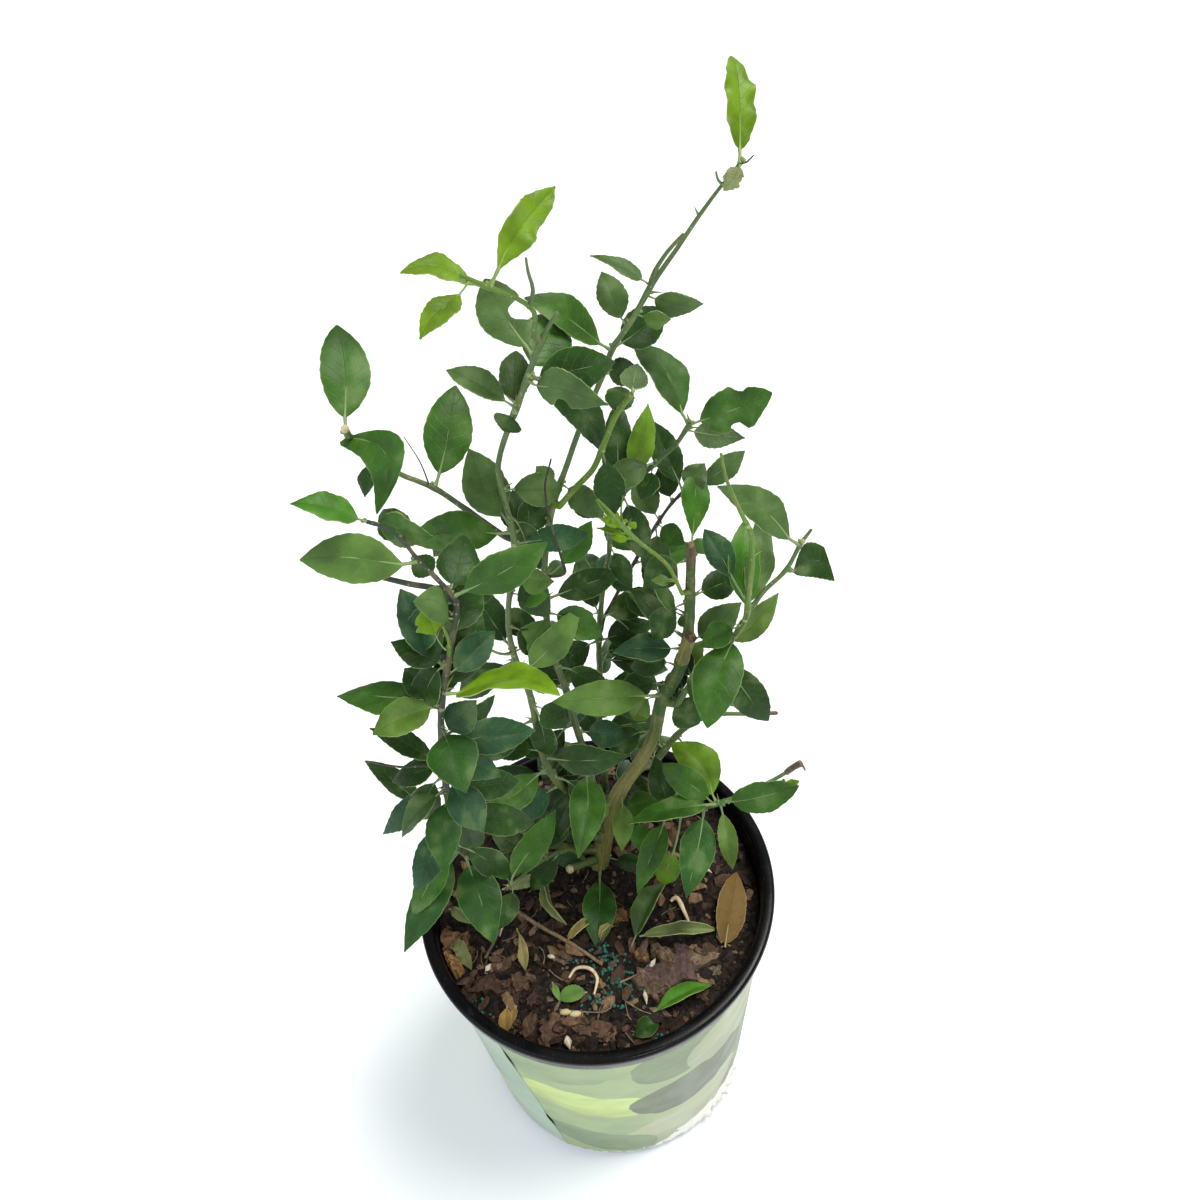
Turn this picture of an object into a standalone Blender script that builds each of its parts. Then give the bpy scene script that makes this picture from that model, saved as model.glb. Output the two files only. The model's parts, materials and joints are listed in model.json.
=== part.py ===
"""Potted limequat: a multi-stemmed citrus shrub in a tapered black plastic nursery pot.

The pot's base centre is the origin, +Z is up and -Y is the front. Stems and leaves are set out along
sight lines: a sight point is (across, down) in a square picture of the plant from the front and above,
and each one becomes a point in space once its distance behind the pot's axis is known.
"""

import math
from collections import namedtuple

import bmesh
import bpy
from mathutils import Matrix, Vector

MM = 0.001
GAP = 0.3 * MM

POT_HEIGHT = 185 * MM
RIM_RADIUS = 100 * MM
FOOT_RADIUS = 84 * MM
WALL = 1.6 * MM
FLOOR_THICKNESS = 3 * MM
LIP_DEPTH = 11 * MM
LIP_WIDTH = 6 * MM
LIP_ROUND = 2 * MM
FOOT_ROUND = 3 * MM
DRAIN_HOLES = 8
DRAIN_RADIUS = 5 * MM
DRAIN_CIRCLE = 60 * MM
DRAIN_SIDES = 12
POT_STEPS = 40

SLEEVE_THICKNESS = 0.6 * MM
SLEEVE_BOTTOM = 6 * MM
SLEEVE_TOP = POT_HEIGHT - LIP_DEPTH - 2 * MM
SLEEVE_SEAM_WIDTH = math.radians(4)
SLEEVE_SEAM_PLACE = math.radians(200)

SOIL_LEVEL = 168 * MM
SOIL_CROWN = 2 * MM
SOIL_SHAPE = ((0.0, 1.0), (0.35, 0.9), (0.7, 0.4), (1.0, -1.0))
SOIL_CLEARANCE = 0.5 * MM
ROOT_DEPTH = 22 * MM
SOCKET_CLEARANCE = 0.7 * MM
SOCKET_SIDES = 16

EYE = Vector((19 * MM, -272 * MM, 640 * MM))
EYE_PITCH = math.radians(42.1)
EYE_ROLL = math.radians(-6.0)
PICTURE_CENTRE = 600.0
FOCAL_LENGTH = 900.0

STEM_STEP = 9 * MM
BRANCH_FOOT = 0.6
AXIS_SHARE_DROPPED = 0.75
END_SHARE = 0.8
LEAF_THICKNESS = 0.6 * MM
LEAF_SEGMENTS = 7
PETIOLE_HALF_WIDTH = 0.7 * MM
PETIOLE_SHARE = 0.14
TIP_SHARE = 0.06
OVAL_SKEW = 0.85
OVAL_FULLNESS = 0.8
BLADE_FOLD = math.radians(16)
LEAF_ARCH = 0.07
LEAVING_SHARE = 0.18
FORWARD_SHARE = 0.08
ARCH_AT_PETIOLE = 0.6
ARCH_AT_BLADE = 1.6
BLADE_CONTROL_SHARE = 0.66
CHIP_SIDES = 9
CHIP_TOP_SHARE = 0.88

Stem = namedtuple("Stem", "name parent route")
Sight = namedtuple("Sight", "across down behind radius")
Leaf = namedtuple("Leaf", "name stem foot tip width lean twist cut", defaults=(1.0,))
Chip = namedtuple("Chip", "name centre size height turn")


def stem(name, parent, *route):
    """A stem through sight points of (across, down, mm behind the pot's axis, radius in mm)."""
    return Stem(name, parent, [Sight(u, v, y * MM, r * MM) for u, v, y, r in route])


STEMS = [
    stem("trunk", None, (600, 880, 17, 8.5), (600, 866, 17, 8.0), (605, 838, 18, 6.6), (617, 796, 19, 5.8),
         (640, 762, 21, 5.2), (654, 735, 23, 5.0), (662, 700, 25, 4.8), (680, 668, 27, 4.6), (688, 635, 28, 4.5),
         (690, 590, 30, 4.3), (691, 545, 31, 4.0)),
    stem("left_main_stem", "trunk", (603, 838, 17, 3.4), (580, 805, 19, 3.3), (552, 775, 12, 3.0),
         (539, 738, 14, 2.8), (530, 695, 18, 2.5), (514, 655, 24, 2.2), (508, 618, 25, 2.1), (512, 575, 25, 2.0),
         (514, 540, 24, 1.9), (506, 505, 22, 1.8), (498, 469, 20, 1.8), (506, 435, 18, 1.8), (518, 404, 16, 1.9),
         (532, 365, 14, 1.6), (541, 340, 12, 1.5), (557, 313, 10, 1.1)),
    stem("top_left_twig", "left_main_stem", (541, 338, 12, 1.3), (534, 312, 7, 1.3), (514, 297, 2, 1.2),
         (490, 288, -3, 1.1), (461, 276, -8, 0.9)),
    stem("far_left_stem", "left_main_stem", (513, 548, 24, 1.9), (484, 522, 30, 1.9), (464, 508, 32, 1.8),
         (434, 488, 34, 1.7), (400, 474, 35, 1.6), (376, 458, 35, 1.5), (346, 433, 34, 1.4)),
    stem("low_left_stem", "trunk", (599, 857, 15, 2.6), (562, 846, 14, 2.5), (515, 850, 2, 2.4),
         (478, 858, -19, 2.2), (456, 843, -35, 2.2), (447, 795, -43, 2.0), (441, 715, -42, 1.8),
         (450, 652, -38, 1.6), (456, 602, -32, 1.4), (441, 583, -30, 1.2), (418, 560, -27, 1.1),
         (403, 541, -24, 1.0), (385, 528, -21, 0.9), (368, 522, -18, 0.8)),
    stem("cut_left_branch", "low_left_stem", (456, 602, -32, 1.6), (437, 589, -24, 1.7), (410, 584, -21, 1.7),
         (384, 578, -19, 1.5)),
    stem("tall_stem", "trunk", (606, 826, 17, 2.8), (592, 780, 14, 2.7), (574, 720, 22, 2.6), (566, 690, 26, 2.5),
         (552, 650, 28, 2.3), (545, 600, 31, 2.2), (546, 545, 33, 2.1), (554, 503, 34, 2.0), (567, 465, 36, 1.8),
         (580, 428, 38, 1.7), (600, 382, 41, 1.6), (612, 350, 43, 1.5), (633, 318, 46, 1.5), (654, 281, 49, 1.5),
         (676, 250, 51, 1.3), (699, 216, 53, 1.2), (719, 189, 55, 1.0), (740, 164, 56, 0.8)),
    stem("yellow_shoot", "tall_stem", (556, 506, 33, 1.6), (576, 487, 24, 1.6), (593, 469, 18, 1.5),
         (604, 444, 12, 1.5), (616, 415, 7, 1.3), (631, 395, 3, 1.1)),
    stem("middle_stem", "trunk", (603, 835, 18, 2.6), (606, 790, 40, 2.6), (600, 735, 54, 2.5), (600, 680, 58, 2.3),
         (599, 635, 58, 2.1), (604, 580, 54, 1.7), (609, 553, 51, 1.6), (612, 510, 47, 1.6), (633, 484, 44, 1.5),
         (652, 466, 42, 1.5), (677, 443, 40, 1.5), (689, 425, 38, 1.3)),
    stem("dark_middle_twig", "middle_stem", (599, 640, 58, 1.2), (604, 618, 64, 1.2), (634, 563, 64, 1.2),
         (655, 527, 61, 1.1), (672, 503, 58, 1.1), (683, 492, 56, 0.9)),
    stem("cut_right_branch", "trunk", (636, 768, 21, 3.0), (655, 762, 36, 3.0), (676, 736, 46, 2.7),
         (698, 720, 48, 2.2), (722, 714, 46, 1.8), (748, 714, 44, 1.7), (776, 713, 42, 1.7)),
    stem("right_stem", "trunk", (663, 700, 25, 2.2), (692, 682, 19, 2.1), (724, 648, 12, 2.0), (745, 620, 8, 2.0),
         (748, 598, 5, 1.9), (752, 561, 2, 1.8), (750, 530, 0, 1.6), (742, 515, -2, 1.3),
         (726, 478, -5, 1.0), (721, 454, -8, 0.8)),
    stem("outer_right_stem", "right_stem", (747, 612, 7, 1.5), (765, 590, 11, 1.5), (786, 570, 14, 1.4),
         (800, 545, 17, 1.3), (811, 530, 19, 1.0)),
    stem("low_right_stem", "trunk", (612, 812, 18, 1.9), (640, 817, 10, 1.9), (680, 812, 0, 1.8),
         (720, 803, -8, 1.8), (752, 790, -2, 1.6), (775, 779, 4, 1.5), (797, 766, 9, 1.6)),
    stem("young_shoot", "trunk", (688, 584, 30, 1.4), (668, 566, 18, 1.4), (648, 549, 9, 1.3), (630, 534, 1, 1.3),
         (612, 514, -6, 1.1), (598, 500, -11, 0.8)),
    stem("low_shoot", "trunk", (602, 861, 15, 2.0), (572, 850, 3, 1.9), (548, 857, -5, 1.8), (526, 872, -12, 1.6),
         (507, 889, -18, 1.3)),
]

LEAVES = [
    Leaf("leaf_far_left_tip", "far_left_stem", (348, 434), (337, 323), 20, -18, 5),
    Leaf("leaf_far_left_fold", "far_left_stem", (377, 458), (374, 513), 20, 30, 35),
    Leaf("leaf_far_left_upper", "far_left_stem", (436, 488), (456, 384), 20, -10, 0),
    Leaf("leaf_left_point", "low_left_stem", (368, 522), (290, 502), 15, 20, 48),
    Leaf("leaf_left_long", "left_main_stem", (511, 532), (406, 541), 18, 18, 12),
    Leaf("leaf_left_outer", "low_left_stem", (418, 560), (298, 560), 18, 0, 0),
    Leaf("leaf_left_glossy", "low_left_stem", (455, 592), (549, 543), 17, 20, 20),
    Leaf("leaf_left_inner", "left_main_stem", (510, 528), (469, 448), 18, 15, 35),
    Leaf("leaf_top_notched", "left_main_stem", (534, 360), (482, 279), 18, -22, 10),
    Leaf("leaf_lime_twisted", "top_left_twig", (492, 288), (557, 185), 16, -10, 15),
    Leaf("leaf_lime_folded", "top_left_twig", (480, 283), (400, 272), 14, 10, 58),
    Leaf("leaf_lime_small", "top_left_twig", (474, 281), (419, 338), 12, 25, 35),
    Leaf("leaf_top_middle", "tall_stem", (611, 352), (525, 296), 18, 25, 42),
    Leaf("leaf_top_lower", "left_main_stem", (526, 381), (607, 406), 18, 28, 25),
    Leaf("leaf_crown", "tall_stem", (740, 164), (733, 53), 13, -5, 35),
    Leaf("leaf_right_arched", "middle_stem", (689, 425), (632, 341), 18, -12, 35),
    Leaf("leaf_right_bitten", "middle_stem", (689, 425), (773, 393), 19, 12, 10),
    Leaf("leaf_outer_right", "outer_right_stem", (798, 545), (719, 487), 18, 22, 28),
    Leaf("leaf_outer_right_cut", "outer_right_stem", (787, 569), (850, 543), 17, -12, 0, 0.62),
    Leaf("leaf_right_upright", "right_stem", (749, 604), (763, 512), 15, -30, 50),
    Leaf("leaf_right_side", "right_stem", (733, 637), (780, 594), 15, -12, 40),
    Leaf("leaf_right_broad", "right_stem", (728, 644), (709, 727), 21, 22, 5),
    Leaf("leaf_middle_pale", "trunk", (664, 695), (552, 702), 19, 20, 0),
    Leaf("leaf_low_left_reach", "low_left_stem", (441, 704), (335, 694), 17, -12, 40),
    Leaf("leaf_low_left_olive", "low_left_stem", (441, 718), (373, 733), 18, 22, 25),
    Leaf("leaf_low_left_broad", "low_left_stem", (442, 726), (466, 792), 20, 28, 0),
    Leaf("leaf_centre_left", "left_main_stem", (549, 768), (485, 818), 18, 25, 10),
    Leaf("leaf_centre_right", "left_main_stem", (547, 757), (629, 757), 17, 35, 25),
    Leaf("leaf_centre_hanging", "tall_stem", (587, 768), (578, 858), 16, 35, 5),
    Leaf("leaf_low_left_hanging", "low_left_stem", (447, 797), (444, 872), 17, 20, 10),
    Leaf("leaf_low_left_outer", "low_left_stem", (447, 800), (364, 758), 15, -20, 45),
    Leaf("leaf_rim_left", "low_left_stem", (456, 852), (403, 953), 18, 5, 20),
    Leaf("leaf_rim_broad", "low_left_stem", (461, 862), (494, 944), 22, 15, 0),
    Leaf("leaf_low_shoot", "low_shoot", (512, 884), (556, 810), 18, 12, 15),
    Leaf("leaf_trunk_foot", "trunk", (598, 862), (597, 948), 21, 38, 0),
    Leaf("leaf_low_right_hanging", "low_right_stem", (705, 807), (686, 898), 18, 12, 0),
    Leaf("leaf_low_right_outer", "low_right_stem", (726, 801), (799, 786), 17, 28, 20),
    Leaf("leaf_low_right_lime", "low_right_stem", (716, 804), (670, 746), 18, 0, 20),
]

BARK = [
    Chip("bark_plate", (676, 970), (38, 24), 3.0, 10),
    Chip("bark_chunk", (458, 941), (17, 11), 5.0, -10),
    Chip("dry_leaf", (729, 912), (34, 14), 1.6, 84),
]

LOOKS = {
    "pot": ((0.016, 0.017, 0.018), 0.38),
    "sleeve": ((0.33, 0.42, 0.27), 0.45),
    "soil": ((0.035, 0.022, 0.014), 0.95),
    "bark": ((0.20, 0.15, 0.09), 0.9),
    "stem": ((0.13, 0.20, 0.06), 0.6),
    "leaf": ((0.06, 0.16, 0.04), 0.4),
    "young_leaf": ((0.22, 0.42, 0.03), 0.35),
}
YOUNG_LEAVES = ("leaf_lime_twisted", "leaf_lime_folded", "leaf_lime_small", "leaf_crown")


def clear_scene():
    """Removes every object, so that the part stands alone."""
    for obj in list(bpy.data.objects):
        bpy.data.objects.remove(obj, do_unlink=True)


def new_collection(name):
    """A collection linked to the scene."""
    collection = bpy.data.collections.new(name)
    bpy.context.scene.collection.children.link(collection)
    return collection


def material(look):
    """The named look as a Principled material, made once."""
    found = bpy.data.materials.get(look)
    if found:
        return found
    colour, roughness = LOOKS[look]
    made = bpy.data.materials.new(look)
    made.use_nodes = True
    shader = made.node_tree.nodes["Principled BSDF"]
    shader.inputs["Base Color"].default_value = (*colour, 1.0)
    shader.inputs["Roughness"].default_value = roughness
    shader.inputs["Metallic"].default_value = 0.0
    made.diffuse_color = (*colour, 1.0)
    return made


def add_object(name, data, look, collection):
    """An object of this data in the collection, with its own copy of the look."""
    obj = bpy.data.objects.new(name, data)
    collection.objects.link(obj)
    if look:
        own = material(look).copy()
        own.name = f"{name}_{look}"
        data.materials.append(own)
    return obj


def sight_frame():
    """The forward, right and down directions of the sight picture."""
    forward = Vector((0, math.cos(EYE_PITCH), -math.sin(EYE_PITCH)))
    right = Vector((1, 0, 0))
    down = forward.cross(right)
    across = math.cos(EYE_ROLL) * right - math.sin(EYE_ROLL) * down
    below = math.sin(EYE_ROLL) * right + math.cos(EYE_ROLL) * down
    return forward, across, below


FORWARD, ACROSS, BELOW = sight_frame()


def sight_line(point):
    """The direction from the eye through a sight point, one unit deep."""
    u = (point[0] - PICTURE_CENTRE) / FOCAL_LENGTH
    v = (point[1] - PICTURE_CENTRE) / FOCAL_LENGTH
    return FORWARD + u * ACROSS + v * BELOW


def place_behind(point, behind):
    """Where the sight line is this far behind the pot's axis."""
    line = sight_line(point)
    return EYE + line * ((behind - EYE.y) / line.y)


def place_on_level(point, level):
    """Where the sight line meets a level plane."""
    line = sight_line(point)
    return EYE + line * ((level - EYE.z) / line.z)


def smooth_route(points, radii, step):
    """A smooth curve through the points as (places, radii), with a place every step or so."""
    padded = [2 * points[0] - points[1], *points, 2 * points[-1] - points[-2]]
    places, widths = [points[0]], [radii[0]]
    for index in range(len(points) - 1):
        p0, p1, p2, p3 = padded[index : index + 4]
        pieces = max(1, round((p2 - p1).length / step))
        for piece in range(1, pieces + 1):
            t = piece / pieces
            linear = p2 - p0
            square = 2 * p0 - 5 * p1 + 4 * p2 - p3
            cube = 3 * p1 - p0 - 3 * p2 + p3
            places.append(p1 + 0.5 * (linear * t + square * t**2 + cube * t**3))
            widths.append(radii[index] * (1 - t) + radii[index + 1] * t)
    return places, widths


def nearest_on_route(route, point):
    """The index of the route's place nearest to a point."""
    places, _ = route
    return min(range(len(places)), key=lambda i: (places[i] - point).length)


def nearest_to_sight(route, point):
    """The route's place, axis and radius nearest to a sight line, and whether it is the free end."""
    places, radii = route
    line = sight_line(point).normalized()
    best = None
    for index in range(len(places) - 1):
        for share in (0.0, 0.25, 0.5, 0.75, 1.0):
            place = places[index].lerp(places[index + 1], share)
            offset = (place - EYE) - line * (place - EYE).dot(line)
            if best is None or offset.length < best[0] - 1e-9:
                axis = (places[index + 1] - places[index]).normalized()
                radius = radii[index] * (1 - share) + radii[index + 1] * share
                at_end = index == len(places) - 2 and share == 1.0
                best = (offset.length, place, axis, radius, at_end)
    return best[1:]


def leave_surface(place, axis, radius, towards, foot_radius):
    """The start on a stem's skin, and the direction, of a piece that grows towards a place."""
    aim = (towards - place).normalized()
    outward = aim - AXIS_SHARE_DROPPED * aim.dot(axis) * axis
    outward.normalize()
    slope = abs(outward.dot(axis))
    rise = math.sqrt(max(1e-6, 1 - slope**2))
    start = place + outward * ((radius + GAP + foot_radius * slope) / rise)
    return start, outward


def build_stems(collection):
    """Each stem as a tapered tube that starts on its parent's skin. Returns the routes by name."""
    routes = {}
    for plan in STEMS:
        points = [place_behind(sight, sight.behind) for sight in plan.route]
        radii = [sight.radius for sight in plan.route]
        if plan.parent is None:
            points[1] = place_on_level(plan.route[1], SOIL_LEVEL)
            points[0] = points[1] - Vector((0, 0, ROOT_DEPTH))
        else:
            places, widths = routes[plan.parent]
            index = nearest_on_route(routes[plan.parent], points[0])
            before, after = places[max(0, index - 1)], places[min(len(places) - 1, index + 1)]
            axis = (after - before).normalized()
            foot = radii[0] * BRANCH_FOOT
            points[0], outward = leave_surface(places[index], axis, widths[index], points[1], foot)
            points.insert(1, points[0] + outward * (2 * foot))
            radii.insert(0, foot)
        routes[plan.name] = smooth_route(points, radii, STEM_STEP)
        add_tube(plan.name, *routes[plan.name], collection)
    return routes


def add_tube(name, places, radii, collection):
    """A tube of changing radius along the places, closed at both ends."""
    curve = bpy.data.curves.new(name, "CURVE")
    curve.dimensions = "3D"
    curve.bevel_depth = MM
    curve.bevel_resolution = 2
    curve.use_fill_caps = True
    spline = curve.splines.new("POLY")
    spline.points.add(len(places) - 1)
    for point, place, radius in zip(spline.points, places, radii):
        point.co = (*place, 1.0)
        point.radius = radius / MM
    spline.use_smooth = True
    return add_object(name, curve, "stem", collection)


def blade_width(share, width, cut):
    """Half the leaf's width at a share of its length: a petiole, an oval blade and a short point."""
    if share <= PETIOLE_SHARE:
        return PETIOLE_HALF_WIDTH
    along = (share - PETIOLE_SHARE) / (1 - PETIOLE_SHARE) * cut
    oval = math.sin(math.pi * along**OVAL_SKEW) ** OVAL_FULLNESS if along < 1 else 0.0
    return max(TIP_SHARE * width, PETIOLE_HALF_WIDTH, width / 2 * oval)


def leaf_midrib(plan, routes):
    """The four Bezier points of the leaf's centre line, and its upper side's direction."""
    place, axis, radius, at_end = nearest_to_sight(routes[plan.stem], plan.foot)
    depth = (place - EYE).dot(FORWARD)
    seen = math.dist(plan.foot, plan.tip) * depth / FOCAL_LENGTH
    tip = EYE + sight_line(plan.tip) * (depth - seen * math.tan(math.radians(plan.lean)))
    if at_end and (tip - place).dot(axis) > 0:
        outward = (tip - place).normalized()
        start = place + outward * (GAP + radius * END_SHARE)
    else:
        start, outward = leave_surface(place, axis, radius, tip, PETIOLE_HALF_WIDTH)
    span = tip - start
    to_eye = (EYE - start.lerp(tip, 0.5)).normalized()
    upper = (to_eye - to_eye.project(span)).normalized()
    upper = Matrix.Rotation(math.radians(plan.twist), 3, span.normalized()) @ upper
    rise = upper * (span.length * LEAF_ARCH)
    first = start + outward * (span.length * LEAVING_SHARE) + span * FORWARD_SHARE + rise * ARCH_AT_PETIOLE
    second = start + span * BLADE_CONTROL_SHARE + rise * ARCH_AT_BLADE
    return (start, first, second, tip), upper


def bezier(points, t):
    """A place on a cubic Bezier curve, and the direction there."""
    a, b, c, d = points
    s = 1 - t
    place = a * s**3 + b * (3 * s * s * t) + c * (3 * s * t * t) + d * t**3
    slope = (b - a) * (3 * s * s) + (c - b) * (6 * s * t) + (d - c) * (3 * t * t)
    return place, slope.normalized()


def add_leaf(plan, routes, collection):
    """A leaf: a grid laid along the midrib, widened to the blade's outline, folded and thickened."""
    midrib, upper = leaf_midrib(plan, routes)
    mesh = bpy.data.meshes.new(plan.name)
    grid = bmesh.new()
    bmesh.ops.create_grid(grid, x_segments=2, y_segments=LEAF_SEGMENTS, size=0.5)
    for vert in grid.verts:
        side, share = 2 * vert.co.x, vert.co.y + 0.5
        place, along = bezier(midrib, share * plan.cut)
        across = along.cross(upper).normalized()
        lift = across.cross(along)
        half = blade_width(share, plan.width * MM, plan.cut) * side
        vert.co = place + across * (half * math.cos(BLADE_FOLD)) + lift * (abs(half) * math.sin(BLADE_FOLD))
    grid.to_mesh(mesh)
    grid.free()
    look = "young_leaf" if plan.name in YOUNG_LEAVES else "leaf"
    obj = add_object(plan.name, mesh, look, collection)
    thick = obj.modifiers.new("thickness", "SOLIDIFY")
    thick.thickness = LEAF_THICKNESS
    thick.offset = 0.0
    obj.data.shade_smooth()
    return obj


def wall_radius(level):
    """The pot wall's outer radius at a height."""
    top = POT_HEIGHT - LIP_DEPTH
    return FOOT_RADIUS + (RIM_RADIUS - LIP_WIDTH - FOOT_RADIUS) * min(1.0, level / top)


def turned(name, profile, look, collection):
    """A turned solid from a profile of (radius, height) points at +X, from the axis round to the axis."""
    mesh = bpy.data.meshes.new(name)
    outline = bmesh.new()
    verts = [outline.verts.new((r, 0, z)) for r, z in profile]
    for pair in zip(verts, verts[1:]):
        outline.edges.new(pair)
    outline.to_mesh(mesh)
    outline.free()
    obj = add_object(name, mesh, look, collection)
    screw = obj.modifiers.new("turn", "SCREW")
    screw.steps = screw.render_steps = POT_STEPS
    screw.use_merge_vertices = True
    screw.merge_threshold = 1e-5
    return obj


def build_pot(parts, cutters):
    """The thin-walled pot with its rolled lip and a ring of drain holes in the floor."""
    top, inner = POT_HEIGHT, RIM_RADIUS - LIP_WIDTH
    profile = [
        (0, FLOOR_THICKNESS),
        (wall_radius(FLOOR_THICKNESS) - WALL, FLOOR_THICKNESS),
        (inner - WALL, top - LIP_DEPTH),
        (inner - WALL, top - LIP_ROUND),
        (inner - WALL + LIP_ROUND, top),
        (RIM_RADIUS - LIP_ROUND, top),
        (RIM_RADIUS, top - LIP_ROUND),
        (RIM_RADIUS, top - LIP_DEPTH),
        (RIM_RADIUS - WALL, top - LIP_DEPTH),
        (RIM_RADIUS - WALL, top - 2 * LIP_ROUND),
        (inner, top - 2 * LIP_ROUND),
        (inner, top - LIP_DEPTH),
        (wall_radius(FOOT_ROUND), FOOT_ROUND),
        (FOOT_RADIUS - FOOT_ROUND, 0),
        (0, 0),
    ]
    pot = turned("nursery_pot", profile, "pot", parts)
    holes = bpy.data.meshes.new("drain_holes")
    shape = bmesh.new()
    for index in range(DRAIN_HOLES):
        angle = math.tau * (index + 0.5) / DRAIN_HOLES
        centre = Vector((math.cos(angle), math.sin(angle), 0)) * DRAIN_CIRCLE
        bmesh.ops.create_cone(shape, cap_ends=True, segments=DRAIN_SIDES, radius1=DRAIN_RADIUS,
                              radius2=DRAIN_RADIUS, depth=6 * FLOOR_THICKNESS, matrix=Matrix.Translation(centre))
    shape.to_mesh(holes)
    shape.free()
    cutter = add_object("drain_holes", holes, None, cutters)
    hide(cutter)
    cut = pot.modifiers.new("drains", "BOOLEAN")
    cut.operation = "DIFFERENCE"
    cut.solver = "EXACT"
    cut.object = cutter
    return pot


def hide(obj):
    """Keeps a helper out of the render."""
    obj.hide_render = True
    obj.display_type = "WIRE"


def build_sleeve(collection):
    """The printed film sleeve round the wall, as a thin cone whose two ends leave a seam open."""
    inner_low = wall_radius(SLEEVE_BOTTOM) + GAP
    inner_high = wall_radius(SLEEVE_TOP) + GAP
    profile = [
        (inner_high, SLEEVE_TOP),
        (inner_high + SLEEVE_THICKNESS, SLEEVE_TOP),
        (inner_low + SLEEVE_THICKNESS, SLEEVE_BOTTOM),
        (inner_low, SLEEVE_BOTTOM),
    ]
    mesh = bpy.data.meshes.new("printed_sleeve")
    shape = bmesh.new()
    face = shape.faces.new([shape.verts.new((r, 0, z)) for r, z in profile])
    seam = Matrix.Rotation(SLEEVE_SEAM_PLACE, 3, "Z")
    bmesh.ops.rotate(shape, verts=shape.verts, matrix=seam)
    bmesh.ops.spin(shape, geom=[face, *face.edges, *face.verts], axis=(0, 0, 1), cent=(0, 0, 0), dvec=(0, 0, 0),
                   angle=math.tau - SLEEVE_SEAM_WIDTH, steps=POT_STEPS, use_duplicate=False)
    bmesh.ops.recalc_face_normals(shape, faces=shape.faces)
    shape.to_mesh(mesh)
    shape.free()
    return add_object("printed_sleeve", mesh, "sleeve", collection)


def soil_height(radius):
    """The soil's height at a distance from the axis: highest in the middle, lowest at the wall."""
    edge = wall_radius(SOIL_LEVEL)
    for (inner, high), (outer, low) in zip(SOIL_SHAPE, SOIL_SHAPE[1:]):
        if radius <= outer * edge:
            share = (radius - inner * edge) / ((outer - inner) * edge)
            return SOIL_LEVEL + SOIL_CROWN * (high * (1 - share) + low * share)
    return SOIL_LEVEL + SOIL_CROWN * SOIL_SHAPE[-1][1]


def build_soil(collection, cutters, trunk_place, trunk_radius):
    """The soil plug: it fills the pot to the soil level, with a low crown and a socket for the trunk."""
    low = FLOOR_THICKNESS + GAP
    inset = WALL + SOIL_CLEARANCE
    crown = [(share * wall_radius(SOIL_LEVEL), SOIL_LEVEL + high * SOIL_CROWN) for share, high in SOIL_SHAPE]
    profile = [
        *crown[:-1],
        (wall_radius(SOIL_LEVEL) - inset, crown[-1][1]),
        (wall_radius(low) - inset, low),
        (0, low),
    ]
    soil = turned("potting_soil", profile, "soil", collection)
    mesh = bpy.data.meshes.new("trunk_socket")
    shape = bmesh.new()
    radius = trunk_radius + SOCKET_CLEARANCE
    depth = 2 * ROOT_DEPTH
    middle = trunk_place + Vector((0, 0, depth / 2 - ROOT_DEPTH - GAP))
    bmesh.ops.create_cone(shape, cap_ends=True, segments=SOCKET_SIDES, radius1=radius, radius2=radius,
                          depth=depth, matrix=Matrix.Translation(middle))
    shape.to_mesh(mesh)
    shape.free()
    cutter = add_object("trunk_socket", mesh, None, cutters)
    hide(cutter)
    cut = soil.modifiers.new("socket", "BOOLEAN")
    cut.operation = "DIFFERENCE"
    cut.solver = "EXACT"
    cut.object = cutter
    return soil


def build_chips(collection):
    """The larger loose pieces on the soil: bark and one fallen leaf, as bevelled flat plates."""
    for chip in BARK:
        centre = place_on_level(chip.centre, SOIL_LEVEL)
        near_edge = Vector((centre.x, centre.y)).length - min(chip.size) * MM / 2
        centre.z = soil_height(near_edge) + GAP + chip.height * MM / 2
        mesh = bpy.data.meshes.new(chip.name)
        shape = bmesh.new()
        bmesh.ops.create_cone(shape, cap_ends=True, segments=CHIP_SIDES, radius1=0.5,
                              radius2=0.5 * CHIP_TOP_SHARE, depth=1.0)
        size = Matrix.Diagonal((chip.size[0] * MM, chip.size[1] * MM, chip.height * MM, 1))
        bmesh.ops.transform(shape, matrix=size, verts=shape.verts)
        shape.to_mesh(mesh)
        shape.free()
        obj = add_object(chip.name, mesh, "bark", collection)
        obj.location = centre
        obj.rotation_euler.z = math.radians(chip.turn)


def main():
    """Builds the potted plant."""
    clear_scene()
    parts = new_collection("potted_limequat")
    cutters = new_collection("cutters")
    build_pot(parts, cutters)
    build_sleeve(parts)
    routes = build_stems(parts)
    places, radii = routes["trunk"]
    socket = Vector((places[0].x, places[0].y, SOIL_LEVEL))
    build_soil(parts, cutters, socket, max(radii))
    for plan in LEAVES:
        add_leaf(plan, routes, parts)
    build_chips(parts)


main()
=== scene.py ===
"""Looks of the potted limequat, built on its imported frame.

The frame holds plain solids for the stems, the larger leaves, the soil and the pot. This script gives each of
them the surface that it has on the plant, adds the smaller leaves, buds, thorns and litter, and lights it all.
Stems and leaves follow the frame's own sight lines: a sight point is (across, down) in a square picture of the
plant from the front and above, and becomes a place in space once its distance behind the pot's axis is known.
"""

import json
import logging
import math
import random
from collections.abc import Callable, Iterable, Sequence
from dataclasses import dataclass, field, replace
from enum import Enum

import bmesh
import bpy
from mathutils import Matrix, Vector, noise

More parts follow.
